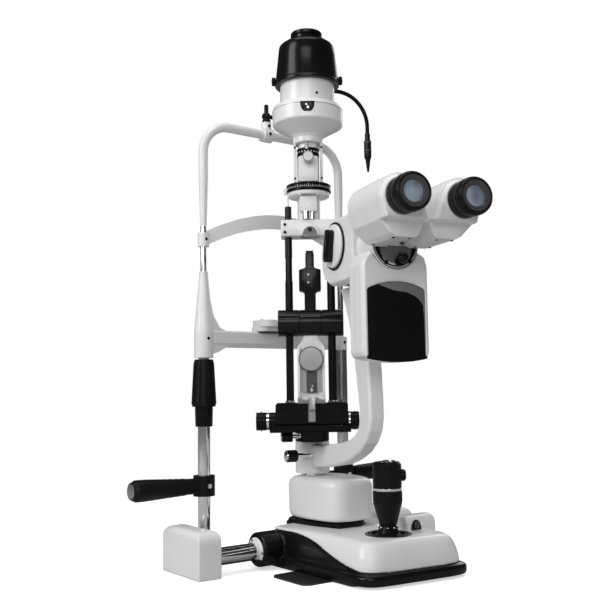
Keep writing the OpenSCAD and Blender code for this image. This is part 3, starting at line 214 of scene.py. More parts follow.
def add_prism(bm, outline, depth, place=HERE, edge=0.0):
    """An outline of (x, y) points raised along the local Z axis, with eased edges."""
    bottom = [bm.verts.new((x, y, 0)) for x, y in outline]
    face = bm.faces.new(bottom)
    result = bmesh.ops.extrude_face_region(bm, geom=[face])
    top = [v for v in result["geom"] if isinstance(v, bmesh.types.BMVert)]
    bmesh.ops.translate(bm, verts=top, vec=(0, 0, depth))
    verts = bottom + top
    if edge:
        rim = [e for e in bm.edges if e.verts[0] in verts and e.verts[1] in verts]
        eased = bmesh.ops.bevel(bm, geom=rim, offset=edge, offset_type="OFFSET", segments=2, profile=0.5,
                                affect="EDGES", clamp_overlap=True, material=-1)
        verts = linked(set(eased["verts"]) | {v for v in verts if v.is_valid})
    bmesh.ops.transform(bm, matrix=place, verts=verts)


def arc(wide, high, start, stop, step):
    """Points on an ellipse about the origin, between angles in whole degrees."""
    return [(wide * cos(radians(a)), high * sin(radians(a))) for a in range(start, stop, step)]


def mirrored(half):
    """An outline from its right half."""
    return half + [(-x, z) for x, z in half[::-1]]


def rounded(width, depth, radius, steps=6):
    """A rectangle with round corners, as points."""
    points = []
    corners = ((width / 2 - radius, depth / 2 - radius, 0), (radius - width / 2, depth / 2 - radius, 90),
               (radius - width / 2, radius - depth / 2, 180), (width / 2 - radius, radius - depth / 2, 270))
    for x, y, start in corners:
        for i in range(steps + 1):
            angle = radians(start + 90 * i / steps)
            points.append((x + radius * cos(angle), y + radius * sin(angle)))
    return points


def add_ring(bm, outer, inner, low, high, place=HERE, edge=0.25, steps=64):
    """A ring with eased edges."""
    add_lathe(bm, [(inner, low), (outer - edge, low), (outer, low + edge), (outer, high - edge),
                   (outer - edge, high), (inner, high)], place, steps)


def add_button(bm, radius, height, place=HERE, edge=0.3, steps=32):
    """A round boss that starts at its place and ends in an eased rim."""
    add_lathe(bm, [(0, 0), (radius, 0), (radius, height - edge), (radius - edge, height), (0, height)],
              place, steps)


def add_cap_screw(bm, radius, place=HERE, high=None):
    """A socket head screw."""
    high = high if high is not None else radius * 0.9
    socket = radius * 0.5
    add_lathe(bm, [(0, high * 0.35), (socket, high * 0.35), (socket, high - 0.12), (socket + 0.12, high),
                   (radius - 0.25, high), (radius, high - 0.25), (radius, 0), (0, 0)], place, 24)


def add_domed_screw(bm, radius, place=HERE):
    """A slotted pan head screw."""
    add_lathe(bm, [(0, 0), (radius, 0), (radius, radius * 0.3), (radius * 0.8, radius * 0.55),
                   (0, radius * 0.66)], place, 24)


def add_teeth(bm, angles, bar, proud, radius, height, place=HERE, upright=True):
    """Small bars raised on a round face, along its axis or round it."""
    lie = RIGHTWARD @ turned(90, "Z") if upright else RIGHTWARD
    for angle in angles:
        add_prism(bm, rounded(*bar), proud, place @ turned(angle, "Z") @ moved(radius, 0, height) @ lie)


def single(name, adder, args, place, body, look, slot=None, smooth=35, **more):
    """A piece of one solid."""
    bm = bmesh.new()
    adder(bm, *args, **more)
    return finish_mesh(name, bm, place, body, look, smooth)


def add_screws(name, base, body, radius, high, places, look="black"):
    """Socket head screws at several places, as one piece."""
    bm = bmesh.new()
    for place in places:
        add_cap_screw(bm, radius, place, high)
    finish_mesh(name, bm, base, body, look)


# Shader maths

class Signal:
    """A node's output that can be added, multiplied and shaped like a number."""

    def __init__(self, tree, socket):
        self.tree = tree
        self.socket = socket

    def math(self, operation, *others, clamp=False):
        node = self.tree.nodes.new("ShaderNodeMath")
        node.operation = operation
        node.use_clamp = clamp
        for index, value in enumerate((self,) + others):
            put(self.tree, node.inputs[index], value)
        return Signal(self.tree, node.outputs[0])

    def __add__(self, other):
        return self.math("ADD", other)

    def __sub__(self, other):
        return self.math("SUBTRACT", other)

    def __mul__(self, other):
        return self.math("MULTIPLY", other)

    def __truediv__(self, other):
        return self.math("DIVIDE", other)

    def above(self, edge, soft):
        """0 below edge, 1 above it, over a soft step."""
        return ((self - edge) / soft).math("ADD", 0.5, clamp=True)


def put(tree, socket, value):
    """Links a signal to a socket, or sets the socket to a plain value."""
    if isinstance(value, Signal):
        tree.links.new(value.socket, socket)
    elif hasattr(socket, "default_value"):
        if hasattr(socket.default_value, "__len__") and isinstance(value, (tuple, list)):
            count = len(socket.default_value)
            socket.default_value = (tuple(value) + (1.0,))[:count] if len(value) < count else tuple(value)
        else:
            socket.default_value = value


class Finish:
    """One material being made, with its surface shader."""

    def __init__(self, name, colour, roughness, metallic=0.0, coat=0.0, shine=0.5):
        self.material = bpy.data.materials.new(name)
        self.material.use_nodes = True
        self.material.diffuse_color = tuple(colour) + (1.0,)
        self.material.roughness = roughness
        self.tree = self.material.node_tree
        self.surface = self.tree.nodes["Principled BSDF"]
        self.surface.inputs["Base Color"].default_value = tuple(colour) + (1.0,)
        self.surface.inputs["Roughness"].default_value = roughness
        self.surface.inputs["Metallic"].default_value = metallic
        self.surface.inputs["Coat Weight"].default_value = coat
        self.surface.inputs["Specular IOR Level"].default_value = shine
        self.colour = colour
        self.roughness = roughness
        coordinates = self.tree.nodes.new("ShaderNodeTexCoord")
        self.point = Signal(self.tree, coordinates.outputs["Object"])

    def node(self, kind, output=0, properties=None, **inputs):
        """Adds a node, sets its properties, joins its inputs and gives one output."""
        made = self.tree.nodes.new(kind)
        for key, value in (properties or {}).items():
            setattr(made, key, value)
        for key, value in inputs.items():
            put(self.tree, made.inputs[key.replace("_", " ")], value)
        return Signal(self.tree, made.outputs[output])

    def noise(self, scale, detail=3.0, vector=None):
        return self.node("ShaderNodeTexNoise", Vector=vector or self.point, Scale=scale, Detail=detail,
                         Roughness=0.55)

    def stretched(self, x, y, z):
        return self.node("ShaderNodeMapping", Vector=self.point, Scale=(x, y, z))

    def mix(self, factor, first, second):
        """Mixes two colours."""
        made = self.tree.nodes.new("ShaderNodeMix")
        made.data_type = "RGBA"
        put(self.tree, made.inputs[0], factor)
        for index, value in ((6, first), (7, second)):
            put(self.tree, made.inputs[index], value if isinstance(value, Signal) else tuple(value) + (1.0,))
        return Signal(self.tree, made.outputs[2])

    def paint(self, signal):
        put(self.tree, self.surface.inputs["Base Color"], signal)

    def rough(self, signal):
        put(self.tree, self.surface.inputs["Roughness"], signal)

    def bump(self, height, strength, distance):
        made = self.tree.nodes.new("ShaderNodeBump")
        made.inputs["Strength"].default_value = strength
        made.inputs["Distance"].default_value = distance
        put(self.tree, made.inputs["Height"], height)
        self.tree.links.new(made.outputs[0], self.surface.inputs["Normal"])

    def uneven(self, spread, scale, lift):
        """A little variation of colour and gloss, as years of wiping leave."""
        cloud = self.noise(scale)
        light = tuple(min(1.0, value * lift + 0.004) for value in self.colour)
        self.paint(self.mix((cloud - 0.5) * spread + 0.5 * spread, self.colour, light))
        fine = self.noise(scale * 9)
        self.rough((cloud - 0.5) * 0.12 + (fine - 0.5) * 0.06 + self.roughness)


def make_enamel():
    made = Finish("ivory_enamel", (0.80, 0.80, 0.79), 0.34, coat=0.25)
    cloud = made.noise(7)
    made.paint(made.mix(cloud.above(0.5, 0.7), (0.775, 0.775, 0.765), (0.83, 0.83, 0.825)))
    made.rough((made.noise(60) - 0.5) * 0.10 + 0.33)
    peel = made.noise(900, 2.0) + made.noise(260, 2.0) * 0.6
    made.bump(peel, 0.10, 0.0004)
    made.surface.inputs["Coat Roughness"].default_value = 0.18
    return made.material


PLAIN = {
    "black": ("black_anodised", (0.004, 0.004, 0.0045), 0.27, {"shine": 0.12}, (0.5, 30, 1.7),
              (1800, 2.0, 0.12, 0.0003)),
    "cast": ("black_casting", (0.005, 0.005, 0.0055), 0.32, {"shine": 0.16}, (0.6, 16, 1.8),
             (700, 4.0, 0.22, 0.0005)),
    "rubber": ("eyecup_rubber", (0.007, 0.007, 0.008), 0.5, {"shine": 0.2}, (0.7, 50, 2.2),
               (1200, 5.0, 0.3, 0.0004)),
    "jet": ("glossy_black", (0.004, 0.004, 0.0045), 0.24, {"coat": 0.1, "shine": 0.2}, (0.5, 30, 1.5),
            (1500, 2.0, 0.05, 0.0002)),
    "bush": ("bush_plastic", (0.50, 0.50, 0.47), 0.5, {}, (0.3, 18, 1.25), (600, 3.0, 0.1, 0.0003)),
    "cell": ("lens_cell_grey", (0.09, 0.09, 0.095), 0.3, {"metallic": 0.4}, (0.3, 60, 1.2),
             (800, 3.0, 0.06, 0.0002)),
    # The "edge" grey serves the head joint's face and the painted reflection strip along the front panel's
    # bevel.
    "edge": ("grey_joint_face_and_painted_sheen", (0.17, 0.17, 0.173), 0.3, {"coat": 0.3}, (0.3, 20, 1.2),
             (400, 3.0, 0.04, 0.0002)),
    "grey": ("grey_satin", (0.33, 0.33, 0.34), 0.3, {"metallic": 0.7}, (0.3, 30, 1.2),
             (500, 3.0, 0.08, 0.0003)),
}


def make_plain(look):
    """One of the finishes that differ only in their numbers: clouds of wear over a fine grain."""
    name, colour, roughness, more, wear, (scale, detail, strength, distance) = PLAIN[look]
    made = Finish(name, colour, roughness, **more)
    made.uneven(*wear)
    made.bump(made.noise(scale, detail), strength, distance)
    if look == "jet":
        made.surface.inputs["Coat Roughness"].default_value = 0.12
    return made.material


def make_grip():
    made = Finish("grip_plastic", (0.005, 0.005, 0.0055), 0.34, shine=0.15)
    made.uneven(0.6, 40, 1.8)
    grain = made.node("ShaderNodeTexVoronoi", Vector=made.point, Scale=1400.0)
    made.bump(grain, 0.18, 0.0003)
    return made.material


def make_gloss():
    made = Finish("gloss_panel", (0.006, 0.006, 0.007), 0.22, coat=0.08, shine=0.2)
    made.rough((made.noise(25) - 0.5) * 0.05 + 0.22)
    made.bump(made.noise(90, 2.0), 0.03, 0.0005)
    made.surface.inputs["Coat Roughness"].default_value = 0.04
    return made.material


def make_chrome():
    made = Finish("polished_chrome", (0.86, 0.87, 0.88), 0.08, metallic=1.0)
    haze = made.noise(40)
    lines = made.noise(120, 4.0, made.stretched(1, 1, 30))
    made.rough((haze - 0.5) * 0.06 + (lines - 0.5) * 0.04 + 0.08)
    made.bump(lines, 0.03, 0.0002)
    return made.material


def make_steel():
    made = Finish("dark_steel", (0.10, 0.10, 0.105), 0.36, metallic=0.85)
    lines = made.noise(90, 5.0, made.stretched(1, 28, 1))
    made.rough((lines - 0.5) * 0.3 + 0.38)
    made.paint(made.mix(lines.above(0.5, 0.5), (0.075, 0.075, 0.08), (0.15, 0.15, 0.155)))
    made.bump(lines, 0.15, 0.0003)
    return made.material


def make_mirror():
    made = Finish("front_mirror", (0.9, 0.92, 0.94), 0.03, metallic=1.0)
    made.rough((made.noise(80) - 0.5) * 0.03 + 0.035)
    return made.material


def make_brass():
    made = Finish("brass_holder", (0.62, 0.47, 0.20), 0.28, metallic=1.0)
    made.rough((made.noise(120) - 0.5) * 0.2 + 0.3)
    made.bump(made.noise(400), 0.1, 0.0003)
    return made.material


def make_lens():
    made = Finish("coated_lens", (0.05, 0.06, 0.075), 0.05, coat=1.0)
    # Pale blue-grey patches in the glass's colour are a painted reflection; where the lens turns away from
    # view, its colour is mixed darker.
    rim = made.node("ShaderNodeLayerWeight", output=1, Blend=0.35)
    cloud = made.noise(38, 1.0).above(0.46, 0.22)
    lens_painted_reflection = made.mix(cloud, (0.045, 0.055, 0.07), (0.34, 0.42, 0.5))
    made.paint(made.mix(rim * 0.8, lens_painted_reflection, (0.03, 0.04, 0.07)))
    made.rough((made.noise(200) - 0.5) * 0.02 + 0.05)
    made.surface.inputs["Coat Roughness"].default_value = 0.02
    made.surface.inputs["IOR"].default_value = 1.6
    return made.material


def make_print():
    made = Finish("white_print", (0.82, 0.82, 0.80), 0.5)
    made.paint(made.mix(made.noise(300).above(0.45, 0.5), (0.70, 0.70, 0.68), (0.86, 0.86, 0.84)))
    made.bump(made.noise(900), 0.1, 0.0001)
    return made.material


def make_satin():
    made = Finish("satin_metal", (0.42, 0.42, 0.43), 0.34, metallic=0.55)
    lines = made.noise(90, 5.0, made.stretched(1, 28, 1))
    made.rough((lines - 0.5) * 0.2 + 0.34)
    made.bump(lines, 0.08, 0.0002)
    return made.material


MAKERS = {"shell": make_enamel, "bright": make_chrome, "plate": make_steel, "grip": make_grip,
          "panel": make_gloss, "mirror": make_mirror, "brass": make_brass, "lens": make_lens,
          "print": make_print, "satin": make_satin}
FINISHES = {}


def finish(look):
    """The material of a slot or look, made when it is first asked for."""
    if look not in FINISHES:
        FINISHES[look] = make_plain(look) if look in PLAIN else MAKERS[look]()
    return FINISHES[look]


# Driving sizes

class StageSizes(bpy.types.PropertyGroup):
    azimuth: FloatProperty(name="Azimuth", description="Where the camera stands, seen from the table's front",
                           default=CAMERA_AZIMUTH, subtype="ANGLE")
    distance: FloatProperty(name="Distance", description="Camera to the arms' axis, level", default=1.173,
                            unit="LENGTH")
    height: FloatProperty(name="Height", description="Camera above the table", default=0.222, unit="LENGTH")
    pitch: FloatProperty(name="Pitch", description="Upward aim", default=radians(5.65), subtype="ANGLE")
    roll: FloatProperty(name="Roll", description="Turn of the picture", default=radians(0.8), subtype="ANGLE")
    yaw: FloatProperty(name="Yaw", description="Aim to the right of the axis", default=radians(-0.4137),
                       subtype="ANGLE")
    lens: FloatProperty(name="Lens", description="Focal length on a 36 mm sensor, in millimetres",
                        default=51.51)


class FittingSizes(bpy.types.PropertyGroup):
    line: FloatProperty(name="Line", description="Width of an engraved line, in millimetres", default=0.5)
    ticks: IntProperty(name="Ticks", description="Graduations round the slit dial", default=72)
    lens: FloatProperty(name="Lens", description="Radius of an eyepiece lens, in millimetres", default=11.2)
    hose: FloatProperty(name="Hose", description="Thickness of the gooseneck, in millimetres", default=5.6)


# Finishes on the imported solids

def dress_nodes():
    """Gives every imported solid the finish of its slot."""
    slots = {part["node"]: part["material_slot"] for part in frame["record"]["subparts"]}
    for name, node in frame["nodes"].items():
        node.data.materials.clear()
        node.data.materials.append(finish(slots[name]))
        for polygon in node.data.polygons:
            polygon.material_index = 0


def eased(node, body, voxel, passes, wide=1.0, shift=0.0, look="shell"):
    """A packed casting again, with its edges run round as moulded ones are, as wide as it shows."""
    packed = frame["nodes"][node]
    bm = bmesh.new()
    bm.from_mesh(packed.data)
    bm.transform(Matrix.Scale(1 / MM, 4) @ packed.matrix_world)
    turn = Matrix.Rotation(TURN_SCOPE, 4, "Z")
    bm.transform(turn @ moved(shift, 0, 0) @ Matrix.Scale(wide, 4, (1, 0, 0)) @ turn.inverted())
    piece = finish_mesh(node + "_moulded", bm, HERE, body, look)
    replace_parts(moulded(piece, voxel, passes) if voxel else piece, node)


def ease_castings():
    """The castings whose edges run round, and a pale grey strip along the panel's top and right edge: a
    painted reflection of its bevel.
    """
    eased("scope_arm", "microscope", 1.1, 6)
    eased("scope_body", "microscope", 1.0, 3)
    eased("scope_cover", "microscope", 1.1, 3, 1.07, 0.8)
    eased("front_panel", "microscope", 0, 0, PANEL_WIDER, PANEL_SHIFT, "panel")
    eased("rail_covers", "stand", 1.2, 5)
    outer = [(x, 337.3 - 8 * ((x - PANEL_SHIFT) / 36.6) ** 2) for x in range(-20, 36, 5)]
    outer += [(36.7, 328.6), (36.9, 300), (37.1, 255.6)]
    inner = [(-20, 333.6), (-15, 332), (-10, 330.2), (-5, 328.6), (0, 327.7), (5, 327.2), (10, 326.8),
             (15, 325.5), (20, 323.6), (25, 321.2), (30, 317), (33, 312.6), (34.3, 300), (34.9, 255.6)]
    # A thin grey sheet between these two lines: a painted reflection of the panel's glossy bevel, not a part
    # of its own.
    bm = bmesh.new()
    for pair in zip(outer, inner):
        for x, z in pair:
            across = (x - PANEL_SHIFT) / PANEL_WIDER
            bm.verts.new((x, -136.35 - (PANEL_BOW ** 2 - across ** 2) ** 0.5, z))
    bm.verts.ensure_lookup_table()
    for i in range(0, len(bm.verts) - 2, 2):
        bm.faces.new([bm.verts[k] for k in (i, i + 1, i + 3, i + 2)])
    finish_mesh("panel_bevel_painted_sheen", bm, scope(0, 0, 0), "microscope", "edge")


# Eyepieces

def make_eyepieces(sizes):
    face = 361
    for side, name in ((-1, "left"), (1, "right")):
        body = "ocular_" + name
        place = scope(OCULAR_HALF * side, 0, OCULAR_UP) @ FORWARD
        radius = sizes.lens
        single(f"{name}_eye_lens", add_lathe,
               ([(0, face - 1.2), (radius * 0.5, face - 1.7), (radius, face - 3.4), (radius, face - 7),
                 (0, face - 7)],), place, body, "lens", "panel", 60)
        single(f"{name}_lens_cell", add_lathe,
               ([(radius - 0.5, face - 8), (radius - 0.3, face - 2.6), (radius + 0.6, face - 1.6),
                 (16.0, face - 0.9), (16.2, face - 2), (16.2, face - 8)],), place, body, "cell", "black")
        cup = [(13, 335.3), (18.6, 335.3), (18.9, 336), (18.9, 344), (18.2, 344.6), (18.2, 346.2),
               (19.4, 347), (19.8, 349), (19.8, face - 4.5), (19.3, face - 2), (18.2, face - 0.5),
               (17.2, face), (16.4, face - 0.5), (16.0, face - 2), (16.0, 350), (13, 350)]
        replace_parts(single(f"{name}_eyecup", add_lathe, (cup,), place, body, "grip", "rubber", steps=96),
                    name + "_eyepiece")
        bm = bmesh.new()
        add_teeth(bm, [turn * 7.5 for turn in range(48)], (1.5, 6.4, 0.6, 2), 0.5, 18.6, 340)
        finish_mesh(f"{name}_dioptre_knurl", bm, place, body, "grip")
        bm = bmesh.new()
        for mark in range(-6, 7):
            long = 2.6 if mark % 2 == 0 else 1.6
            add_teeth(bm, (90 + mark * 8.5,), (sizes.line, long, 0.2, 1), 0.12, 19.75, 350.2)
        finish_mesh(f"{name}_dioptre_marks", bm, place, body, "print")
        single(f"{name}_tube_ring", add_ring, (20.6, 17, 331.5, 335.15), place, "prism_" + name, "shell",
               edge=0.8)


# Binocular head

def add_prism_box(bm, side):
    """One half of the binocular head: a round lobe about the eyepiece over a wedge."""
    def lobe(inset, floor):
        low = [(2.6, 393), (4.5, 386), (9, 376.5), (13, 374.6), (34, 374.6), (41, 378), (54, 391)]
        low = [(x + (inset if x < 20 else -inset * (x > 45)), max(z + inset * (z < 380), floor))
               for x, z in low]
        round_top = [(OCULAR_HALF + x, 413.2 + z) for x, z in arc(24.6 - inset, 24.6 - inset, -24, 166, 10)]
        flat = [(x * side, z) for x, z in low + round_top + [(9 + inset, 410)]]
        return flat if side > 0 else flat[::-1]
    for inset, floor, deep, front in ((0, 0, 64, -256), (0, 391, 74, -256), (2.6, 0, 68.5, -252.5),
                                      (2.8, 392, 81, -252.5)):
        add_prism(bm, lobe(inset, floor), deep, moved(0, front, 0) @ FORWARD)
    add_lathe(bm, [(0, 318), (20.4, 318), (20.4, 335), (0, 335)],
              moved(OCULAR_HALF * side, 0, OCULAR_UP) @ FORWARD, 48)


def make_binocular_trim(sizes):
    for side, name in ((-1, "left"), (1, "right")):
        body = "prism_" + name
        bm = bmesh.new()
        add_prism_box(bm, side)
        box = finish_mesh(f"{name}_prism_case", bm, scope(0, 0, 0), body, "shell")
        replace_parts(moulded(box, 0.8, 7), name + "_prism_box")
        add_screws(f"{name}_prism_screws", scope(0, 0, 0), body, 1.7, 0.8, [
            moved(x * side, y, 374.9) @ DOWNWARD
            for x, y in ((16, -266), (34, -266), (34, -312), (16, -312))])
    bm = bmesh.new()
    for outer, inner, thick in ((27.6, 26.9, 0), (25.6, 24.2, 4.2)):
        crescent = arc(outer, outer, 186, 355, 6)
        for a in range(354, 185, -6):
            reach = inner - thick * abs(cos(radians(a))) ** 3
            crescent.append((reach * cos(radians(a)), reach * sin(radians(a))))
        add_prism(bm, crescent, 0.7, moved(0, -250.9, 380) @ FORWARD)
    finish_mesh("head_joint_arc", bm, scope(0, 0, 0), "microscope", "black")
    single("head_joint_face", add_prism, (arc(22, 22, 186, 355, 6), 0.5, moved(0, -250.6, 380) @ FORWARD),
           scope(0, 0, 0), "microscope", "edge", "panel")
    add_screws("head_joint_screws", scope(0, 0, 0), "microscope", 2.3, 1.2,
               [moved(x, -250.8, z) @ FORWARD for x, z in ((17, 361), (-12, 359))])
    bm = bmesh.new()
    add_lathe(bm, [(0, 241), (3, 241), (3, 252), (5.2, 252.4), (5.4, 253), (5.2, 255.4), (0, 255.8)],
              moved(3, 0, 360) @ FORWARD, 32)
    add_lathe(bm, [(0, 250), (2.4, 250), (2.4, 258), (0, 258)], moved(4, 0, 363) @ FORWARD, 24)
    bmesh.ops.create_uvsphere(bm, u_segments=48, v_segments=32, radius=6.3, matrix=moved(4, -260.2, 363.2))
    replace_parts(finish_mesh("filter_lever_ball", bm, scope(0, 0, 0), "filter_ball", "jet"),
                "filter_lever")


# Magnification knobs

def make_magnification_trim(sizes):
    reach = 34.3
    for side, name in ((-1, "left"), (1, "right")):
        out = scope(0, 164, DRUM_AXIS) @ (RIGHTWARD if side > 0 else LEFTWARD)
        face = single(f"{name}_drum_face", add_lathe,
                      ([(0, reach - 2), (25.4, reach - 2), (26, reach + 1), (25.2, reach + 3.4),
                        (23.4, reach + 4.4), (0, reach + 4.8)],), out, "drum", "shell", steps=96)
        if side < 0:
            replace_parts(face, "mag_knobs")
        single(f"{name}_drum_collar", add_ring, (28.2, 26.3, 33.9, 36.0), out, "microscope", "black",
               edge=0.4, steps=96)
        bm = bmesh.new()
        slant = out @ turned(100 * side, "Z")
        add_prism(bm, rounded(14, 38, 5, 6), 8.6, slant @ moved(0, 0, reach + 3), 2.2)
        add_prism(bm, rounded(10, 33, 4, 6), 0.8, slant @ moved(0, 0, reach + 11.2), 0.4)
        finish_mesh(f"{name}_drum_grip", bm, HERE, "drum", "jet")
        single(f"{name}_drum_dot", add_button, (1.5, 0.5, moved(20.4, 0, reach + 4.2)), out @ turned(20, "Z"),
               "drum", "black")


# Microscope body and cover

def make_scope_trim(sizes):
    add_screws("head_under_screws", HERE, "microscope", 2.4, 1.4, [
        scope(side * 17, 152 + 40 * out, 344.4) @ DOWNWARD for out in (0.30, 0.72) for side in (-1, 1)])
    single("objective_ring", add_ring, (25.4, 21.2, 0, 1.2, scope(0, 108.7, DRUM_AXIS) @ BACKWARD, 0.3), HERE,
           "microscope", "black")
    for side, name in ((-1, "left"), (1, "right")):
        single(f"{name}_objective_lens", add_lathe,
               ([(0, 0.8), (5, 0.5), (8.4, -0.6), (8.4, -3), (0, -3)],),
               scope(side * 11, 112.5, DRUM_AXIS) @ BACKWARD, "microscope", "lens", "panel", 60)
    single("panel_edge_strip", add_prism, (rounded(1.0, 76, 0.4, 2), 0.5), scope(34.2, 247.3, 293) @ FORWARD,
           "microscope", "bright", edge=0.15)
    add_screws("cover_back_screws", HERE, "microscope", 1.9, 1.0, [
        scope(side * 30, 213.2, z) @ BACKWARD for z in (268, 352) for side in (-1, 1)])
    bm = bmesh.new()
    for z in (262, 292, 322):
        add_prism(bm, rounded(40, 2.4, 1.1, 4), 0.4, scope(0, 213.35, z) @ BACKWARD)
    finish_mesh("cover_vents", bm, HERE, "microscope", "black")
    add_lock(scope(0, 25, 137.5) @ LEFTWARD, 24, "scope_screw", "scope_lock")


def add_lock(place, stem, name, node):
    """A clamping screw: a thin bright stem, a knurled black head and a bright end."""
    head = stem + 8
    shaft = [(0, 4), (2.5, 4), (2.5, stem), (3.4, stem + 0.5), (3.4, head), (0, head)]
    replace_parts(single(f"{name}_stem", add_lathe, (shaft,), place, name, "bright", steps=32), node)
    bm = bmesh.new()
    add_lathe(bm, [(0, head), (6.6, head), (7.5, head + 0.8), (7.5, head + 14), (0, head + 14)], steps=48)
    add_teeth(bm, range(0, 360, 12), (1, 12, 0.3, 1), 0.35, 7.4, head + 7.4)
    finish_mesh(f"{name}_grip", bm, place, name, "jet")
    single(f"{name}_face", add_lathe,
           ([(0, head + 15.9), (5, head + 15.8), (6.6, head + 15.2), (7.2, head + 13.9), (0, head + 13.9)],),
           place, name, "bright", steps=48)


# Lamp

def make_lamp_trim(sizes):
    base = tower(0, 0, 0)
    bm = bmesh.new()
    high, half, tall = 585.2, 11.5, 13.5
    grid = []
    for i in range(25):
        off = i / 12 - 1
        angle = radians(-90 + half * off)
        bottom = high - tall * max(1 - abs(off) ** 3.2, 0.0008) ** 0.5
        grid.append([bm.verts.new((46.3 * cos(angle), 46.3 * sin(angle), bottom + (high - bottom) * k / 6))
                     for k in range(7)])
    for i in range(24):
        for k in range(6):
            bm.faces.new((grid[i][k], grid[i + 1][k], grid[i + 1][k + 1], grid[i][k + 1]))
    bmesh.ops.solidify(bm, geom=bm.faces[:], thickness=0.5)
    finish_mesh("lamp_window", bm, base, "tower", "panel")
    # Two small chrome buttons on the dark window stand for its small highlight: a painted glint.
    bm = bmesh.new()
    add_button(bm, 1.5, 0.6, moved(0.6, -46.4, 577) @ FORWARD)
    add_button(bm, 0.9, 0.5, moved(-1.4, -46.4, 580.6) @ FORWARD, 0.1, 16)
    finish_mesh("lamp_window_glints", bm, base, "tower", "bright")
    single("flange_seam", add_ring, (46.25, 44.5, 583.9, 584.5), base, "tower", "grey", "bright", edge=0.1,
           steps=96)
    add_screws("collar_screws", base, "tower", 1.7, 0.9, [
        turned(a, "Z") @ moved(35.3, 0, 600) @ RIGHTWARD for a in (-70, 50, 170)])
    cap = [(36.4, 619.5), (41.6, 619.5), (42.2, 620.1), (42.2, 622.6), (41.8, 623.2), (41.6, 625),
           (38.1, 656), (38.2, 656.4), (36.6, 670), (36, 672), (34.4, 673.8), (29.4, 677.4), (27.6, 678),
           (20.2, 678.6), (19.6, 679), (19.2, 685.6), (20.4, 686.4), (20.8, 687.4), (20.8, 690.4),
           (20, 691.4), (18, 691.7), (16.4, 691.2), (15.6, 689), (0, 688.6), (0, 660), (35, 655),
           (36.4, 650)]
    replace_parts(single("lamp_cap_shell", add_lathe, (cap,), base, "tower", "jet", "cast", 28, steps=96),
                "lamp_cap")
    bm = bmesh.new()
    for side in (-1, 1):
        out = moved(0, 0, 627) @ (RIGHTWARD if side > 0 else LEFTWARD)
        add_teeth(bm, range(0, 360, 18), (0.9, 3.8, 0.3, 1), 0.35, 5.4, 43.8, out, False)
        add_button(bm, 2.0, 0.6, out @ moved(0, 0, 46.2))
    finish_mesh("cap_screw_knurl", bm, base, "tower", "black")


# Dial, filters and aperture

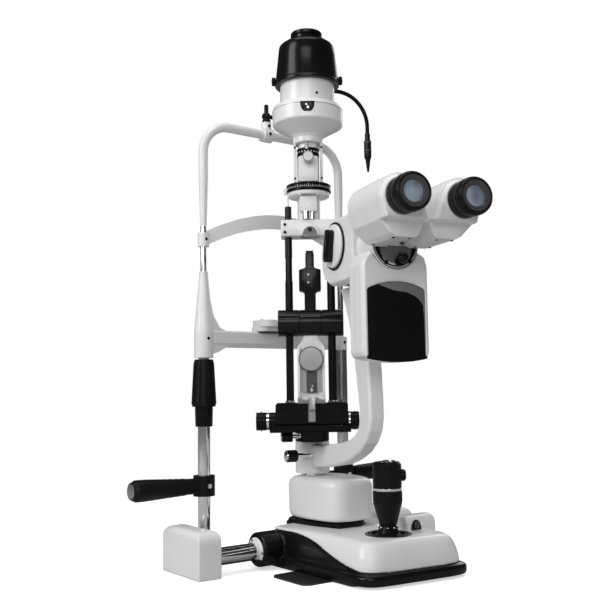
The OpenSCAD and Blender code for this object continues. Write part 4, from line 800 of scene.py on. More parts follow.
def make_optics_trim(sizes):
    base = tower(0, 0, 0)
    dial, top = 476.4, 486
    rim = [(10, dial), (28.4, dial), (29, dial + 0.6), (29, dial + 2.2), (28.4, dial + 2.8),
           (28.4, top - 2.2), (29, top - 1.6), (29, top - 0.5), (28.4, top), (16, top), (15, top - 1.2),
           (10, top - 1.2)]
    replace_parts(single("slit_dial_ring", add_lathe, (rim,), base, "dial", "black", steps=96), "slit_dial")
    bm = bmesh.new()
    for i in range(sizes.ticks):
        tall = 3.6 if i % 6 == 0 else (2.6 if i % 2 == 0 else 1.8)
        add_teeth(bm, (i * 360 / sizes.ticks,), (sizes.line, tall, 0.2, 1), 0.12, 28.38,
                  dial + 3.2 + tall / 2)
    finish_mesh("dial_marks", bm, base, "dial", "print")
    bm = bmesh.new()
    add_teeth(bm, range(0, 360, 3), (0.8, 1.3, 0.2, 1), 0.25, 28.9, dial + 1.4)
    finish_mesh("dial_knurl", bm, base, "dial", "black")
    bm = bmesh.new()
    add_ring(bm, 14.7, 7.5, 439.7, 476, edge=0.4)
    add_lathe(bm, [(10, 470.8), (26, 470.8), (27, 471.8), (27.4, 475.4), (26.8, 476), (10, 476)], steps=96)
    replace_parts(finish_mesh("slit_drum", bm, base, "tower", "shell"), "slit_barrel")
    single("slit_front_slab", add_prism, (rounded(21.6, 20, 1.6, 4), 8.6), tower(-0.6, -11, 459.6) @ FORWARD,
           "tower", "shell", edge=1.1)
    bm = bmesh.new()
    add_lathe(bm, [(0, 439.8), (4.9, 439.8), (4.9, 444), (4.3, 444.4), (4.3, 445), (4.9, 445.4), (4.9, 449.6),
                   (0, 449.6)], moved(-3.4, -15.2, 0), 40)
    add_lathe(bm, [(0, 439.8), (2.6, 439.8), (2.6, 449.6), (0, 449.6)], moved(4.6, -14.6, 0), 32)
    finish_mesh("slit_blade_pins", bm, base, "tower", "bright")
    add_screws("slit_drum_screws", base, "tower", 1.7, 1.2, [
        turned(a, "Z") @ moved(23.4, 0, 470.9) @ DOWNWARD for a in (-62, -118, -20, -160)], "bright")
    bm = bmesh.new()
    add_ring(bm, 14.2, 9, 486.4, 524, edge=0.4)
    for side in (-1, 1):
        add_prism(bm, rounded(3.4, 15, 0.8, 3), 62, moved(side * 17.2, 0, 486.4), 0.4)
    add_prism(bm, rounded(37.8, 15, 1.5, 3), 3.4, moved(0, 0, 486.4), 0.4)
    add_prism(bm, rounded(37.8, 15, 1.5, 3), 5, moved(0, 0, 544.4), 0.4)
    add_ring(bm, 19, 8, 541.3, 550.4, edge=0.8)
    add_ring(bm, 13, 8, 534.8, 545, edge=0.2)
    add_ring(bm, 11, 8, 520, 548, edge=0.2)
    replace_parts(finish_mesh("condenser_case", bm, base, "tower", "shell"), "condenser")
    single("condenser_front", add_prism, (rounded(25, 33, 1.8, 4), 7), tower(0, -9.6, 505.6) @ FORWARD,
           "tower", "shell", edge=0.9)
    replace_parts(single("aperture_drum", add_lathe,
                       ([(11.3, 524.4), (14.2, 524.4), (14.6, 524.9), (14.6, 527), (14.1, 527.4), (14.1, 532),
                         (14.6, 532.4), (14.6, 534), (14.2, 534.4), (11.3, 534.4)],), base, "aperture",
                       "black", steps=72), "aperture_ring")
    bm = bmesh.new()
    for i in range(9):
        around = turned(-90 + (i - 4) * 17, "Z")
        add_button(bm, 0.9, 0.25, around @ moved(14.05, 0, 529.7) @ RIGHTWARD, 0.1, 16)
    finish_mesh("aperture_dots", bm, base, "aperture", "print")
    bm = bmesh.new()
    add_prism(bm, rounded(4.6, 7, 0.8, 3), 3.4, moved(-1.6, -13.6, 534.6) @ FORWARD, 0.5)
    add_prism(bm, rounded(3, 5, 0.6, 3), 2.6, moved(-1.6, -14, 539) @ FORWARD, 0.4)
    finish_mesh("aperture_tab_face", bm, base, "aperture", "grey")
    knob = tower(0, -16.9, FILTER_AXIS) @ FORWARD
    grip = [(0, 0), (5.4, 0), (6, 0.5), (6, 9), (6.6, 9.6), (6.6, 14.4), (5.8, 15.2), (0, 15.4)]
    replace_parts(single("filter_knob_body", add_lathe, (grip,), knob, "filter_turn", "satin", "bright",
                       steps=48), "filter_knob")
    single("filter_knob_knurl", add_teeth, (range(0, 360, 15), (0.8, 3.6, 0.3, 1), 0.3, 6.5, 12), knob,
           "filter_turn", "bright")
    add_screws("rail_screws", base, "tower", 1.4, 0.7, [
        moved(side * 17.2, -7.4, z) @ FORWARD for side in (-1, 1) for z in (495, 536)])
    bm = bmesh.new()
    add_lathe(bm, [(0, 458), (1.1, 458), (1.1, 474), (0, 474)], moved(-27, -2, 0), 16)
    add_prism(bm, rounded(7, 9, 1, 3), 3.2, moved(-28.8, -1, 479) @ FORWARD, 0.4)
    finish_mesh("index_bracket", bm, base, "tower", "shell")


# Lens plate, rods and mirror

def make_tower_trim(sizes):
    base = tower(0, 0, 0)
    add_screws("plate_screws", base, "tower", 1.9, 1.1, [
        moved(x, -16, z) @ FORWARD for x, z in ((-31, 423), (-31, 433), (28, 428))])
    bm = bmesh.new()
    add_prism(bm, rounded(70, 32, 3, 4), 20.6, moved(-1.5, 0, 418.6), 1.0)
    add_prism(bm, arc(11.4, 15.5, 0, 181, 9), 3.4, moved(1, -15.6, 419) @ FORWARD, 0.8)
    plate = finish_mesh("lens_plate_case", bm, base, "tower", "shell")
    bm = bmesh.new()
    add_lathe(bm, [(0, 410), (13.6, 410), (13.6, 423), (0, 423)], moved(1, -2, 0), 64)
    bm.transform(base)
    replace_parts(carved(plate, bm), "lens_plate")
    bm = bmesh.new()
    add_prism(bm, arc(9.2, 10.4, 0, 181, 9), 0.5, moved(1, -18.8, 419.4) @ FORWARD)
    add_lathe(bm, [(0, 422.9), (13.5, 422.9), (13.5, 422.2), (0, 422.2)], moved(1, -2, 0), 64)
    finish_mesh("plate_mouth", bm, base, "tower", "cell")
    single("plate_mouth_screw", add_cap_screw, (2.6,), tower(1, -19.3, 425.4) @ FORWARD, "tower",
           "black", high=1.8)
    single("field_lens", add_lathe, ([(0, -1.2), (5, -0.9), (8.9, 0), (8.9, 2), (0, 2)],),
           tower(1, -2, 420.5), "tower", "lens", "panel", 60)
    bm = bmesh.new()
    for x, low, high, radius in ((-ROD, 206, 459, 4.3), (-ROD, 206, 362, 4.9), (-ROD, 392, 418.4, 4.7),
                                 (ROD, 206, 419, 4.3), (ROD, 206, 366, 5.1)):
        add_lathe(bm, [(0, low), (radius, low), (radius, high - 0.5), (radius - 0.5, high), (0, high)],
                  moved(x, 0, 0), 40)
    for low, high in ((-41.4, -14.3), (-13.7, 13.7), (14.3, 41.4)):
        add_lathe(bm, [(0, low), (16.4, low), (17, low + 0.6), (17, high - 0.6), (16.4, high), (0, high)],
                  moved(0, 0, BARREL_AXIS) @ RIGHTWARD, 72)
    add_lathe(bm, [(0, -20), (16, -20), (16, 20), (0, 20)], moved(0, 0, BARREL_AXIS) @ RIGHTWARD, 48)
    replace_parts(finish_mesh("rods_and_barrel", bm, base, "tower", "jet"), "tower_rods")
    # Thin chrome strips on the barrel's front stand for the lights' reflection line on the glossy barrel:
    # painted highlights.
    bm = bmesh.new()
    add_prism(bm, rounded(26, 0.9, 0.3, 2), 0.3, moved(-27.8, -16.5, 312.4) @ FORWARD)
    add_prism(bm, rounded(26, 0.7, 0.3, 2), 0.3, moved(0, -15.9, 314.6) @ FORWARD)
    finish_mesh("barrel_painted_highlights", bm, base, "tower", "bright")
    bm = bmesh.new()
    for x in (-ROD, ROD):
        add_ring(bm, 6.2, 4.4, 206.0, 208.6, moved(x, 0, 0), 0.4, 40)
    finish_mesh("rod_feet", bm, base, "tower", "bright")
    bm = bmesh.new()
    for z in (359, 369):
        add_button(bm, 1.2, 0.3, moved(-2, -9.0, z) @ FORWARD, 0.1, 20)
    finish_mesh("mirror_dots", bm, base, "tower", "print")
    bm = bmesh.new()
    half = [(4.8, 400), (4.8, 381), (6, 378.4), (8.6, 376.8), (13, 375.8), (14, 374.6), (14, 349.8),
            (13, 348.4), (9, 347.6), (7.2, 345.6), (7.2, 322)]
    add_prism(bm, mirrored(half), 17.4, moved(0, 8.6, 0) @ FORWARD, 0.5)
    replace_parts(finish_mesh("mirror_block", bm, base, "tower", "jet"), "mirror_holder")
    bm = bmesh.new()
    half = [(17.4, 262), (17.4, 273), (16.4, 277.5), (13.6, 281.5), (11, 284.6), (9.8, 288), (9.6, 300)]
    add_prism(bm, mirrored(half), 7, moved(0, 2.6, 0) @ FORWARD, 0.8)
    finish_mesh("tongue_neck", bm, base, "tower", "shell")
    single("latch_face", add_prism, (rounded(7.6, 31, 1, 3), 1.4), tower(0.6, -16, 198.6) @ FORWARD, "latch",
           "satin", "bright", edge=0.4)
    bm = bmesh.new()
    add_prism(bm, rounded(4.4, 12, 1.6, 4), 4, moved(0.6, -6.4, 226) @ FORWARD, 0.6)
    add_button(bm, 2.4, 8, moved(0.6, -6, 230) @ FORWARD, 0.5)
    finish_mesh("tongue_pin", bm, base, "tower", "bright")
    single("tongue_slot_face", add_prism, (rounded(13.6, 27, 1, 3), 0.5), tower(0.6, -6.3, 232) @ FORWARD,
           "tower", "cell", "bright")
    knob = tower(0, -6.3, CENTRING_AXIS) @ FORWARD
    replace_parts(single("centring_face", add_lathe,
                       ([(0, 0), (14.6, 0), (15, 0.4), (15, 6), (14.4, 6.8), (0, 7.2)],), knob, "centring",
                       "satin", "bright", steps=96), "centring_knob")
    single("centring_rim", add_ring, (15.8, 14.7, 0, 6.4), knob, "centring", "cell", "black", edge=0.3,
           steps=96)
    bm = bmesh.new()
    for side in (-1, 1):
        add_prism(bm, rounded(3.2, 64, 1.2, 4), 3.4, moved(side * 15.8, -5.9, 245) @ FORWARD, 0.5)
    finish_mesh("tongue_edges", bm, base, "tower", "shell")
    single("tongue_panel", add_prism, (rounded(28, 54, 2, 4), 0.5), tower(0, -5.9, 246) @ FORWARD, "tower",
           "satin", "bright")
    bm = bmesh.new()
    for x, wide in ((-10.8, 13.4), (11.4, 12.2)):
        add_prism(bm, rounded(wide, 7.6, 1, 3), 1.0, moved(x, -13.6, 209) @ FORWARD, 0.3)
    finish_mesh("block_front_bar", bm, base, "tower", "grey")
    add_screws("block_screws", base, "tower", 1.9, 1.0, [
        moved(x, -14, z) @ FORWARD for x in (-37, 37) for z in (188, 200)])


# Tilt block knobs

def make_slit_knob_trim(sizes):
    base = tower(0, 0, 183)
    bm = bmesh.new()
    add_teeth(bm, range(0, 360, 9), (1.0, 10.4, 0.4, 1), 0.4, 11.1, 63.8, LEFTWARD, False)
    add_teeth(bm, range(0, 360, 9), (1.0, 8, 0.4, 1), 0.4, 11.1, 54.6, RIGHTWARD, False)
    finish_mesh("slit_knob_knurl", bm, base, "slit_width", "grip")
    single("slit_knob_ring", add_ring, (11.0, 9, 53.9, 57.4, LEFTWARD, 0.3), base, "slit_width", "bright")
    bm = bmesh.new()
    for i in range(15):
        long = 3.6 if i % 5 == 0 else 2.2
        add_teeth(bm, (180 + (i - 7) * 9,), (long, 0.45, 0.2, 1), 0.12, 11.28, 50.2, LEFTWARD, False)
    finish_mesh("tilt_scale", bm, base, "illuminator", "print")
    single("tilt_ring", add_ring, (11.45, 9, 46.2, 48.8, RIGHTWARD, 0.3), base, "illuminator", "bright")
    add_lock(tower(0, 25, 163) @ LEFTWARD, 17, "illum_screw", "illum_lock")


# Joystick and base

def make_joystick_trim(sizes):
    base = moved(*JOYSTICK, 0)
    single("joystick_band", add_ring, (17.5, 16.2, 101, 104.4), base, "grip", "bright", edge=0.4, steps=72)
    single("joystick_ribs", add_teeth, (range(0, 360, 15), (1.6, 12, 0.7, 2), 0.5, 17.15, 94), base, "grip",
           "grip")
    bm = bmesh.new()
    for a in range(15, 375, 60):
        add_button(bm, 1.2, 0.5, turned(a, "Z") @ moved(11.2, 0, 134.9), 0.2, 16)
    finish_mesh("joystick_pins", bm, base, "grip", "bright")
    bm = bmesh.new()
    for a in range(0, 360, 45):
        bmesh.ops.create_uvsphere(bm, u_segments=12, v_segments=8, radius=1.5,
                                  matrix=turned(a, "Z") @ moved(11.2, 0, 58.2))
    finish_mesh("joystick_balls", bm, base, "stick", "bright")
    single("trigger_dot", add_button, (1.3, 0.4, moved(0, 0, 22.5), 0.1, 16),
           moved(*JOYSTICK, 119) @ Matrix.Rotation(TURN_ILLUM, 4, "Z") @ RIGHTWARD, "grip_trigger", "print",
           "shell")
    single("joystick_collar", add_ring, (22.6, 20.2, 49.9, 51.0), base, "base", "black", edge=0.35, steps=72)


def make_base_trim(sizes):
    bm = bmesh.new()
    for side in (-1, 1):
        place = moved(side * 94.9, -6, 23) @ (RIGHTWARD if side > 0 else LEFTWARD) @ turned(90 * side, "Z")
        add_prism(bm, arc(16.5, 16.5, -35, 216, 10), 0.9, place, 0.3)
    finish_mesh("hub_plates", bm, HERE, "base", "shell")
    add_screws("hub_screws", HERE, "base", 1.6, 0.7, [
        moved(side * 95.5, -6 + 15 * cos(radians(a)), 22 + 15 * sin(radians(a)))
        @ (RIGHTWARD if side > 0 else LEFTWARD) for side in (-1, 1) for a in (60, 180, 300)])
    make_housing()
    make_base_shell()


def ring_about(points, grow, height, middle):
    """An outline grown about its middle, laid at a height."""
    cx, cy = middle
    size = max(abs(x - cx) for x, y in points)
    return [(cx + (x - cx) * (1 + grow / size), cy + (y - cy) * (1 + grow / size), height) for x, y in points]


def softened(points, cuts=3):
    """An outline with its corners cut again and again until they run round."""
    for _ in range(cuts):
        new = []
        for i, (x, y) in enumerate(points):
            nx, ny = points[(i + 1) % len(points)]
            new += [(x * near + nx * (1 - near), y * near + ny * (1 - near)) for near in (0.75, 0.25)]
        points = new
    return points


def make_housing():
    """Round moulded housing of the column, over its black plinth."""
    plan = softened([(38, 22), (49, 4), (48, -50), (38, -84), (-17, -86), (-30, -60), (-33, 4), (-24, 24),
                     (4, 29)][::-1])
    middle = (8, -28)
    bm = bmesh.new()
    add_loft(bm, [ring_about(plan, grow, z, middle) for grow, z in (
        (-5, 57.3), (-2.4, 58.4), (-1, 61), (0, 66), (0, 98), (-0.6, 102), (-2, 105.6), (-4.6, 108.4),
        (-8, 109.8), (-14, 110.2))])
    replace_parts(finish_mesh("column_shell", bm, HERE, "lift", "shell", smooth=50),
                "column_housing")
    bm = bmesh.new()
    add_loft(bm, [ring_about(plan, grow, z, middle) for grow, z in
                  ((-7, 49), (-7, 51.5), (-8.4, 52.4), (-8.8, 56.2), (-9.6, 57))])
    finish_mesh("column_plinth", bm, HERE, "base", "jet", 50)


def base_outline(grow):
    """The base's outline seen from above, grown at its sides and front."""
    points = [(-66, 4), (-66, -14), (-66, -156), (-64, -172), (-56, -183), (-40, -188), (8, -193), (46, -197),
              (64, -197), (75, -192), (80, -181), (81, -162), (81, -14), (81, 4)]
    grown = []
    for x, y in points:
        out = grow * (1 if x > 11 else -1) * min(abs(x - 11) / 66, 1)
        if grow <= 0 and y > -20:
            out *= 0.12
        ahead = grow if y < -150 else 0
        grown.append((x + out, y - ahead * min((-y - 150) / 30, 1)))
    return grown


def base_loft(bm, layers):
    """Layers of the base's outline, each grown by a little, as one solid."""
    add_loft(bm, [[(x, y, z) for x, y in softened(base_outline(grow), 2)] for grow, z in layers])


def below_lip():
    """All that lies under the line where the base's white cover meets its black half."""
    line = [(20, 46.2), (-16, 46), (-38, 46.4), (-56, 45.4), (-72, 43), (-88, 39), (-104, 33.6), (-120, 28),
            (-136, 23.4), (-152, 20), (-168, 17.8), (-190, 16.6), (-240, 15.6)]
    bm = bmesh.new()
    add_prism(bm, line + [(-240, -30), (20, -30)], 300, moved(150, 0, 0) @ SIDEWAYS)
    return bm


def round_joystick(profile):
    """A turned solid about the joystick's axis."""
    bm = bmesh.new()
    add_lathe(bm, profile, moved(*JOYSTICK, 0), 72)
    return bm


def make_base_shell():
    """White cover with a drawn-in top and a palm rest, over the black half with its glossy lip."""
    slope = ((-0.4, 6), (-0.4, 16), (-1.2, 24), (-3, 33), (-5.6, 41), (-8, 45.4), (-11.4, 48.4), (-16, 49.8),
             (-24, 50.1))
    cover = carved(single("base_shell", base_loft, (slope,), HERE, "base", "shell"), below_lip())
    hood = [(-149, 45), (-148, 61), (-145, 66), (-139, 68), (-126, 67), (-106, 61), (-86, 51), (-78, 45)]
    bm = bmesh.new()
    add_prism(bm, hood, 48, moved(79, 0, 0) @ SIDEWAYS, 3)
    joined(cover, bm)
    moulded(cover, 1.2, 8)
    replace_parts(carved(cover, round_joystick([(0, 44), (27.2, 44), (27.2, 60), (0, 60)])), "base_cover")
    shade(cover.data, 50)
    wider = [(grow + 0.7, z) for grow, z in slope[:-2]]
    chassis = single("base_underside", base_loft, (wider,), HERE, "base", "jet", "cast")
    carved(chassis, below_lip(), "INTERSECT")
    bm = round_joystick([(0, 14), (27.6, 14), (27.6, 49), (0, 49)])
    base_loft(bm, ((2.6, 2.8), (4.6, 3.4), (5.4, 6), (5.6, 10), (5.2, 13), (3.8, 14.8), (1.4, 15.6)))
    add_lathe(bm, [(0, -94.6), (19.4, -94.6), (21.4, -93), (21.4, 93), (19.4, 94.6), (0, 94.6)],
              moved(0, -6, 24.2) @ RIGHTWARD, 72)
    joined(chassis, bm)
    moulded(chassis, 1.2, 6)
    well = round_joystick([(0, 30), (15, 30), (20, 44), (24.6, 50), (24.6, 60), (0, 60)])
    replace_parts(carved(chassis, well), "base_chassis")
    single("joystick_dish", add_ring, (28.2, 24.4, 48.4, 50.9, moved(*JOYSTICK, 0), 0.8, 96), HERE, "base",
           "jet", "black")
    single("palm_rest_mouth", add_prism, (arc(8.4, 12.6, 0, 181, 9), 1.0, moved(44, -148.5, 50.6) @ FORWARD),
           HERE, "base", "jet", "black")
    bm = bmesh.new()
    add_button(bm, 4.2, 2.2, moved(44, -149.6, 57.4) @ FORWARD, 0.5)
    add_prism(bm, rounded(2.4, 7, 0.8, 3), 1.6, moved(44, -151.6, 57.4) @ FORWARD, 0.4)
    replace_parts(finish_mesh("base_lock_knob", bm, HERE, "base_lock", "cell"), "lock_lever")


# Stand

def make_stand_trim(sizes):
    left, right, back = LEFT_POST, RIGHT_POST, POSTS_BACK
    bm = bmesh.new()
    for x in (left - 24 - 16, right + 24 + 16):
        for y in (-8, 52):
            add_domed_screw(bm, 2.6, moved(x, y, 55.9))
    finish_mesh("rail_cover_plugs", bm, HERE, "stand", "shell")
    bm = bmesh.new()
    for x in (left, right):
        add_cap_screw(bm, 2.3, moved(x + (4 if x > 0 else -4), back - 14, 30) @ FORWARD, 0.5)
        add_ring(bm, 9.6, 8.1, 41.9, 43.2, moved(x, back, 0), 0.4, 48)
    finish_mesh("foot_screws", bm, HERE, "stand", "bright")
    bm = bmesh.new()
    for x, y in ((-90, -105), (-90, -70), (60, -105), (60, -70), (-15, -30), (-15, -140)):
        add_lathe(bm, [(0, 2.0), (3, 2.0), (2.6, 2.25), (1.4, 2.25), (1.3, 2.1), (0, 2.1)],
                  moved(x, y, 0), 24)
    finish_mesh("plate_rivets", bm, HERE, "stand", "plate")
    add_screws("band_screws", HERE, "stand", 1.8, 0.9, [
        moved(x, back - 7.4, 423) @ FORWARD for x in (left, right)])
    single("collar_rings", add_lathe, ([(9, 176.6), (10.8, 176.6), (11.2, 177.2), (11.8, 203), (9, 203)],
                                       moved(left, back, 0)), HERE, "stand", "black")
    bm = bmesh.new()
    add_domed_screw(bm, 2.2, moved(-28, back - 9.8, 582) @ FORWARD)
    add_cap_screw(bm, 2.0, moved(-28, back - 7, 594) @ FORWARD, 1.0)
    finish_mesh("fixation_clamp_screws", bm, HERE, "stand", "black")


def make_chin_trim(sizes):
    bm = bmesh.new()
    for x in (-41, 11):
        add_lathe(bm, [(0, -3), (1.9, -3), (1.9, 1.2), (1.4, 1.8), (0, 1.9)], moved(x, 56, 318.3), 20)
    finish_mesh("chin_paper_pins", bm, HERE, "chin_rest", "bright")
    single("chin_cup_gasket", add_prism, (rounded(70, 36, 10, 6), 0.6, moved(-15, POSTS_BACK, 301.9)), HERE,
           "chin_rest", "grip")
    add_screws("chin_bar_screws", HERE, "chin_rest", 2.0, 0.9, [
        moved(x, POSTS_BACK - deep, 291) @ FORWARD for x, deep in ((LEFT_POST, 12.4), (RIGHT_POST, 8.4))])
    for x, side, name in ((LEFT_POST, -1, "left"), (RIGHT_POST, 1, "right")):
        add_screws(f"{name}_handle_screw", HERE, "handle_" + name, 3.0, 1.6,
                   [moved(x, POSTS_BACK - 13.9, HANDLES_UP) @ FORWARD], "bright")
        single(f"{name}_handle_end", add_lathe, ([(0, 1.2), (6, 1.0), (9.4, 0), (9.4, -0.4), (0, -0.4)],),
               moved(x + side * 103, POSTS_BACK, HANDLES_UP) @ (RIGHTWARD if side > 0 else LEFTWARD),
               "handle_" + name, "grey", "bright", steps=40)


def make_fixation_trim(sizes):
    place = moved(-28, POSTS_BACK, 0) @ turned(-10.4, "Z")
    thick = sizes.hose / 2
    radius, reach, top, foot = 47.7, 165.7, 662.7, 600.4
    bm = bmesh.new()
    add_lathe(bm, [(0, foot + 0.3), (6, foot + 0.3), (6, foot + 3), (5, foot + 4.6), (5.4, foot + 5.6),
                   (6.6, foot + 9), (5.4, foot + 12.6), (3.2, foot + 14), (3, foot + 25), (2.4, foot + 26),
                   (0, foot + 26.2)], steps=40)
    add_lathe(bm, [(0, 546), (1.5, 546), (4, 566), (4.8, 566), (5.5, 569), (5.5, 593), (4, 593.6), (4, 604),
                   (2.8, 605), (0, 605)], moved(reach, 0, 0), 40)
    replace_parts(finish_mesh("fixation_lamp", bm, place, "fixation", "jet"), "fixation_arm")
    path = [(3 * i, foot + 9 + (top - foot - 9) * (1 - cos(radians(180 * max(i - 4, 0) / 26))) / 2)
            for i in range(30)]
    path += [(90 + 2 * i, top) for i in range(14)]
    path += [(reach - radius + radius * sin(radians(a)), top - radius + radius * cos(radians(a)))
             for a in range(0, 91, 3)]
    path += [(reach, top - radius - 2 * i) for i in range(1, 7)]
    bm = bmesh.new()
    for (x, z), (next_x, next_z) in zip(path, path[1:]):
        slant = atan2(next_x - x, next_z - z)
        long = sqrt((next_x - x) ** 2 + (next_z - z) ** 2) * 1.12
        coil = [(0, 0), (thick, 0), (thick + 0.25, long * 0.3), (thick + 0.25, long * 0.6), (thick, long),
                (0, long)]
        add_lathe(bm, coil, moved(x, 0, z) @ Matrix.Rotation(slant, 4, "Y"), 16)
    finish_mesh("gooseneck_coils", bm, place, "fixation", "black")
    bm = bmesh.new()
    add_ring(bm, 5.8, 4, 577, 578.2, moved(reach, 0, 0), 0.2, 40)
    add_ring(bm, 5.8, 4, 590, 591.4, moved(reach, 0, 0), 0.2, 40)
    finish_mesh("fixation_rings", bm, place, "fixation", "cell")


# Stage

def make_stage(sizes):
    direction = Vector((-sin(sizes.azimuth), cos(sizes.azimuth), 0))
    right = Vector((cos(sizes.azimuth), sin(sizes.azimuth), 0))
    ahead = direction * cos(sizes.yaw) + right * sin(sizes.yaw)
    across = right * cos(sizes.yaw) - direction * sin(sizes.yaw)
    up = Vector((0, 0, 1))
    view = ahead * cos(sizes.pitch) + up * sin(sizes.pitch)
    over = up * cos(sizes.pitch) - ahead * sin(sizes.pitch)
    side = across * cos(sizes.roll) - over * sin(sizes.roll)
    crown = over * cos(sizes.roll) + across * sin(sizes.roll)
    data = bpy.data.cameras.new("photo_camera")
    data.lens = sizes.lens
    data.sensor_width = 36
    data.clip_start = 0.01
    data.clip_end = 50
    camera = bpy.data.objects.new("photo_camera", data)
    bpy.context.scene.collection.objects.link(camera)
    place = Matrix((side, crown, -view)).transposed().to_4x4()
    place.translation = up * sizes.height - direction * sizes.distance
    camera.matrix_world = place
    bpy.context.scene.camera = camera
    bm = bmesh.new()
    bmesh.ops.create_grid(bm, x_segments=1, y_segments=1, size=12)
    mesh = bpy.data.meshes.new("floor")
    bm.to_mesh(mesh)
    bm.free()
    floor = bpy.data.objects.new("floor", mesh)
    bpy.context.scene.collection.objects.link(floor)
    mesh.materials.append(make_floor())
    make_lights()
    make_world()
    bpy.context.scene.view_settings.view_transform = "Standard"


def make_floor():
    """White paper: the object's shadow falls on it, and it runs out into plain white."""
    made = Finish("floor_paper", (0.9, 0.9, 0.9), 0.9)
    made.paint(made.mix(made.noise(3), (0.89, 0.89, 0.89), (0.91, 0.91, 0.91)))
    made.surface.inputs["Specular IOR Level"].default_value = 0.0
    made.surface.inputs["Emission Color"].default_value = (1, 1, 1, 1)
    made.surface.inputs["Emission Strength"].default_value = 0.55
    tree = made.tree
    far = made.node("ShaderNodeVectorMath", 1, {"operation": "LENGTH"}, Vector=made.point)
    path = Signal(tree, tree.nodes.new("ShaderNodeLightPath").outputs["Is Camera Ray"])
    white = made.node("ShaderNodeEmission", Color=(1, 1, 1, 1), Strength=1.0)
    dull = made.node("ShaderNodeBsdfDiffuse", Color=(0.42, 0.42, 0.42, 1))
    near = tree.nodes.new("ShaderNodeMixShader")
    put(tree, near.inputs[0], far.above(0.55, 0.5))
    tree.links.new(made.surface.outputs[0], near.inputs[1])
    put(tree, near.inputs[2], white)
    seen = tree.nodes.new("ShaderNodeMixShader")
    put(tree, seen.inputs[0], path)
    put(tree, seen.inputs[1], dull)
    tree.links.new(near.outputs[0], seen.inputs[2])
    output = next(node for node in tree.nodes if node.bl_idname == "ShaderNodeOutputMaterial")
    tree.links.new(seen.outputs[0], output.inputs["Surface"])
    return made.material


def add_light(name, place, target, size, energy):
    data = bpy.data.lights.new(name, "AREA")
    data.shape = "RECTANGLE"
    data.size, data.size_y = size
    data.energy = energy
    lamp = bpy.data.objects.new(name, data)
    bpy.context.scene.collection.objects.link(lamp)
    lamp.matrix_world = Matrix.Translation(place) @ (Vector(target) - Vector(place)).to_track_quat(
        "-Z", "Y").to_matrix().to_4x4()


def make_lights():
    aim = (0, 0, 0.33)
    right = Vector((cos(CAMERA_AZIMUTH), sin(CAMERA_AZIMUTH), 0))
    near = Vector((sin(CAMERA_AZIMUTH), -cos(CAMERA_AZIMUTH), 0))
    add_light("key", near * 1.1 - right * 1.7 + Vector((0, 0, 1.3)), aim, (0.9, 1.3), 21)
    add_light("fill", near * 2.1 - right * 0.1 + Vector((0, 0, 1.0)), aim, (1.2, 0.8), 10)
    add_light("top", Vector((-0.2, -0.2, 2.0)), aim, (1.2, 1.2), 11)
    add_light("back", near * -1.5 + right * 0.9 + Vector((0, 0, 1.2)), aim, (0.6, 1.4), 6)


def make_world():
    """White where the camera sees past the object, softer as light, dark where surfaces mirror it."""
    world = bpy.data.worlds.new("studio")
    bpy.context.scene.world = world
    world.use_nodes = True
    tree = world.node_tree
    tree.nodes.clear()
    path = tree.nodes.new("ShaderNodeLightPath")

    def white(strength):
        made = tree.nodes.new("ShaderNodeBackground")
        made.inputs[0].default_value = (1, 1, 1, 1)
        made.inputs[1].default_value = strength
        return made.outputs[0]

    def chosen(ray, otherwise, seen):
        made = tree.nodes.new("ShaderNodeMixShader")
        tree.links.new(path.outputs[ray], made.inputs[0])
        tree.links.new(otherwise, made.inputs[1])
        tree.links.new(seen, made.inputs[2])
        return made.outputs[0]

    light = chosen("Is Glossy Ray", white(0.385), white(0.05))
    shown = chosen("Is Camera Ray", light, white(1.0))
    tree.links.new(shown, tree.nodes.new("ShaderNodeOutputWorld").inputs[0])


# Operators

class SLIT_OT_finishes(bpy.types.Operator):
    """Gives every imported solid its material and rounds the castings."""
    bl_idname = "slit.finishes"
    bl_label = "Dress the solids"

    def execute(self, context):
        dress_nodes()
        ease_castings()
        return {"FINISHED"}


class SLIT_OT_eyepieces(bpy.types.Operator):
    """Makes the eyecups, lenses and dioptre rings."""
    bl_idname = "slit.eyepieces"
    bl_label = "Eyepieces"

    def execute(self, context):
        make_eyepieces(context.scene.slit_fittings)
        return {"FINISHED"}


class SLIT_OT_binocular(bpy.types.Operator):
    """Makes the two prism boxes, the joint under them and the filter lever."""
    bl_idname = "slit.binocular"
    bl_label = "Binocular trim"

    def execute(self, context):
        make_binocular_trim(context.scene.slit_fittings)
        return {"FINISHED"}


class SLIT_OT_magnification(bpy.types.Operator):
    """Makes the magnification knobs."""
    bl_idname = "slit.magnification"
    bl_label = "Magnification knobs"

    def execute(self, context):
        make_magnification_trim(context.scene.slit_fittings)
        return {"FINISHED"}


class SLIT_OT_scope(bpy.types.Operator):
    """Adds the objective, the cover's small parts and the arm's lock."""
    bl_idname = "slit.scope"
    bl_label = "Microscope trim"

    def execute(self, context):
        make_scope_trim(context.scene.slit_fittings)
        return {"FINISHED"}


class SLIT_OT_lamp(bpy.types.Operator):
    """Makes the lamp's cap, window, seam and screws."""
    bl_idname = "slit.lamp"
    bl_label = "Lamp trim"

    def execute(self, context):
        make_lamp_trim(context.scene.slit_fittings)
        return {"FINISHED"}


class SLIT_OT_optics(bpy.types.Operator):
    """Makes the slit dial and barrel, the condenser, the aperture drum and the filter knob."""
    bl_idname = "slit.optics"
    bl_label = "Slit optics trim"

    def execute(self, context):
        make_optics_trim(context.scene.slit_fittings)
        return {"FINISHED"}


class SLIT_OT_tower(bpy.types.Operator):
    """Makes the rods and barrel, lens plate, mirror block, tongue and centring knob."""
    bl_idname = "slit.tower"
    bl_label = "Tower trim"

    def execute(self, context):
        make_tower_trim(context.scene.slit_fittings)
        return {"FINISHED"}


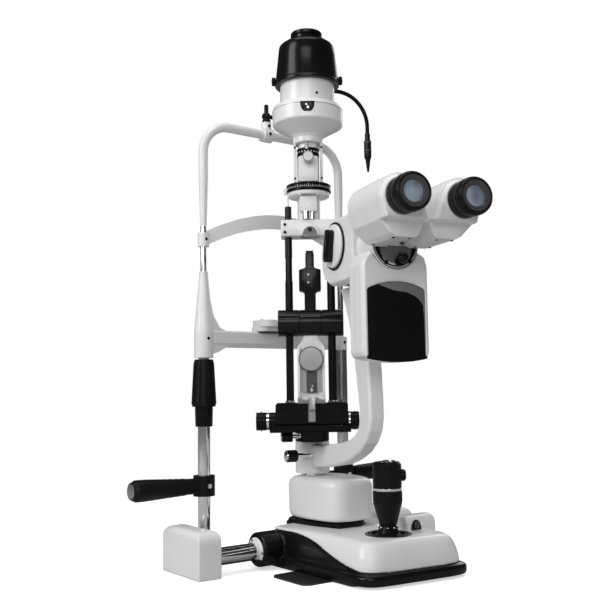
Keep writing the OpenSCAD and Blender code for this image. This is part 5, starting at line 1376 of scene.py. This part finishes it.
class SLIT_OT_slit_knobs(bpy.types.Operator):
    """Adds the slit knobs' knurls, the tilt scale and the arm's lock."""
    bl_idname = "slit.slit_knobs"
    bl_label = "Slit knobs"

    def execute(self, context):
        make_slit_knob_trim(context.scene.slit_fittings)
        return {"FINISHED"}


class SLIT_OT_joystick(bpy.types.Operator):
    """Adds the joystick's band, ribs, pins and collar."""
    bl_idname = "slit.joystick"
    bl_label = "Joystick trim"

    def execute(self, context):
        make_joystick_trim(context.scene.slit_fittings)
        return {"FINISHED"}


class SLIT_OT_base(bpy.types.Operator):
    """Makes the base's cover and black half, the column's housing and the lock knob."""
    bl_idname = "slit.base"
    bl_label = "Base trim"

    def execute(self, context):
        make_base_trim(context.scene.slit_fittings)
        return {"FINISHED"}


class SLIT_OT_stand(bpy.types.Operator):
    """Adds the screws and rings of the stand."""
    bl_idname = "slit.stand"
    bl_label = "Stand trim"

    def execute(self, context):
        make_stand_trim(context.scene.slit_fittings)
        return {"FINISHED"}


class SLIT_OT_chin(bpy.types.Operator):
    """Adds the chin rest's pins, gasket and screws, and the handles' ends."""
    bl_idname = "slit.chin"
    bl_label = "Chin rest and handles"

    def execute(self, context):
        make_chin_trim(context.scene.slit_fittings)
        return {"FINISHED"}


class SLIT_OT_fixation(bpy.types.Operator):
    """Makes the fixation lamp and its gooseneck."""
    bl_idname = "slit.fixation"
    bl_label = "Fixation lamp trim"

    def execute(self, context):
        make_fixation_trim(context.scene.slit_fittings)
        return {"FINISHED"}


class SLIT_OT_stage(bpy.types.Operator):
    """Adds the camera, lights and floor."""
    bl_idname = "slit.stage"
    bl_label = "Stage"

    def execute(self, context):
        make_stage(context.scene.slit_stage)
        return {"FINISHED"}


class SLIT_PT_pieces(bpy.types.Panel):
    """Lists what the script can add."""
    bl_idname = "SLIT_PT_pieces"
    bl_label = "Slit lamp"
    bl_space_type = "VIEW_3D"
    bl_region_type = "UI"
    bl_category = "Slit lamp"

    def draw(self, context):
        column = self.layout.column()
        for group in (context.scene.slit_fittings, context.scene.slit_stage):
            for name in group.__annotations__:
                column.prop(group, name)
        for operator in OPERATORS:
            column.operator(operator.bl_idname)


OPERATORS = (SLIT_OT_finishes, SLIT_OT_eyepieces, SLIT_OT_binocular, SLIT_OT_magnification,
             SLIT_OT_scope, SLIT_OT_lamp, SLIT_OT_optics, SLIT_OT_tower,
             SLIT_OT_slit_knobs, SLIT_OT_joystick, SLIT_OT_base, SLIT_OT_stand,
             SLIT_OT_chin, SLIT_OT_fixation, SLIT_OT_stage)
CLASSES = (StageSizes, FittingSizes, SLIT_PT_pieces) + OPERATORS


def register():
    for item in CLASSES:
        bpy.utils.register_class(item)
    bpy.types.Scene.slit_stage = PointerProperty(type=StageSizes)
    bpy.types.Scene.slit_fittings = PointerProperty(type=FittingSizes)


def unregister():
    del bpy.types.Scene.slit_fittings
    del bpy.types.Scene.slit_stage
    for item in reversed(CLASSES):
        bpy.utils.unregister_class(item)


def main():
    register()
    for item in OPERATORS:
        group, name = item.bl_idname.split(".")
        getattr(getattr(bpy.ops, group), name)()


if __name__ == "__main__":
    main()
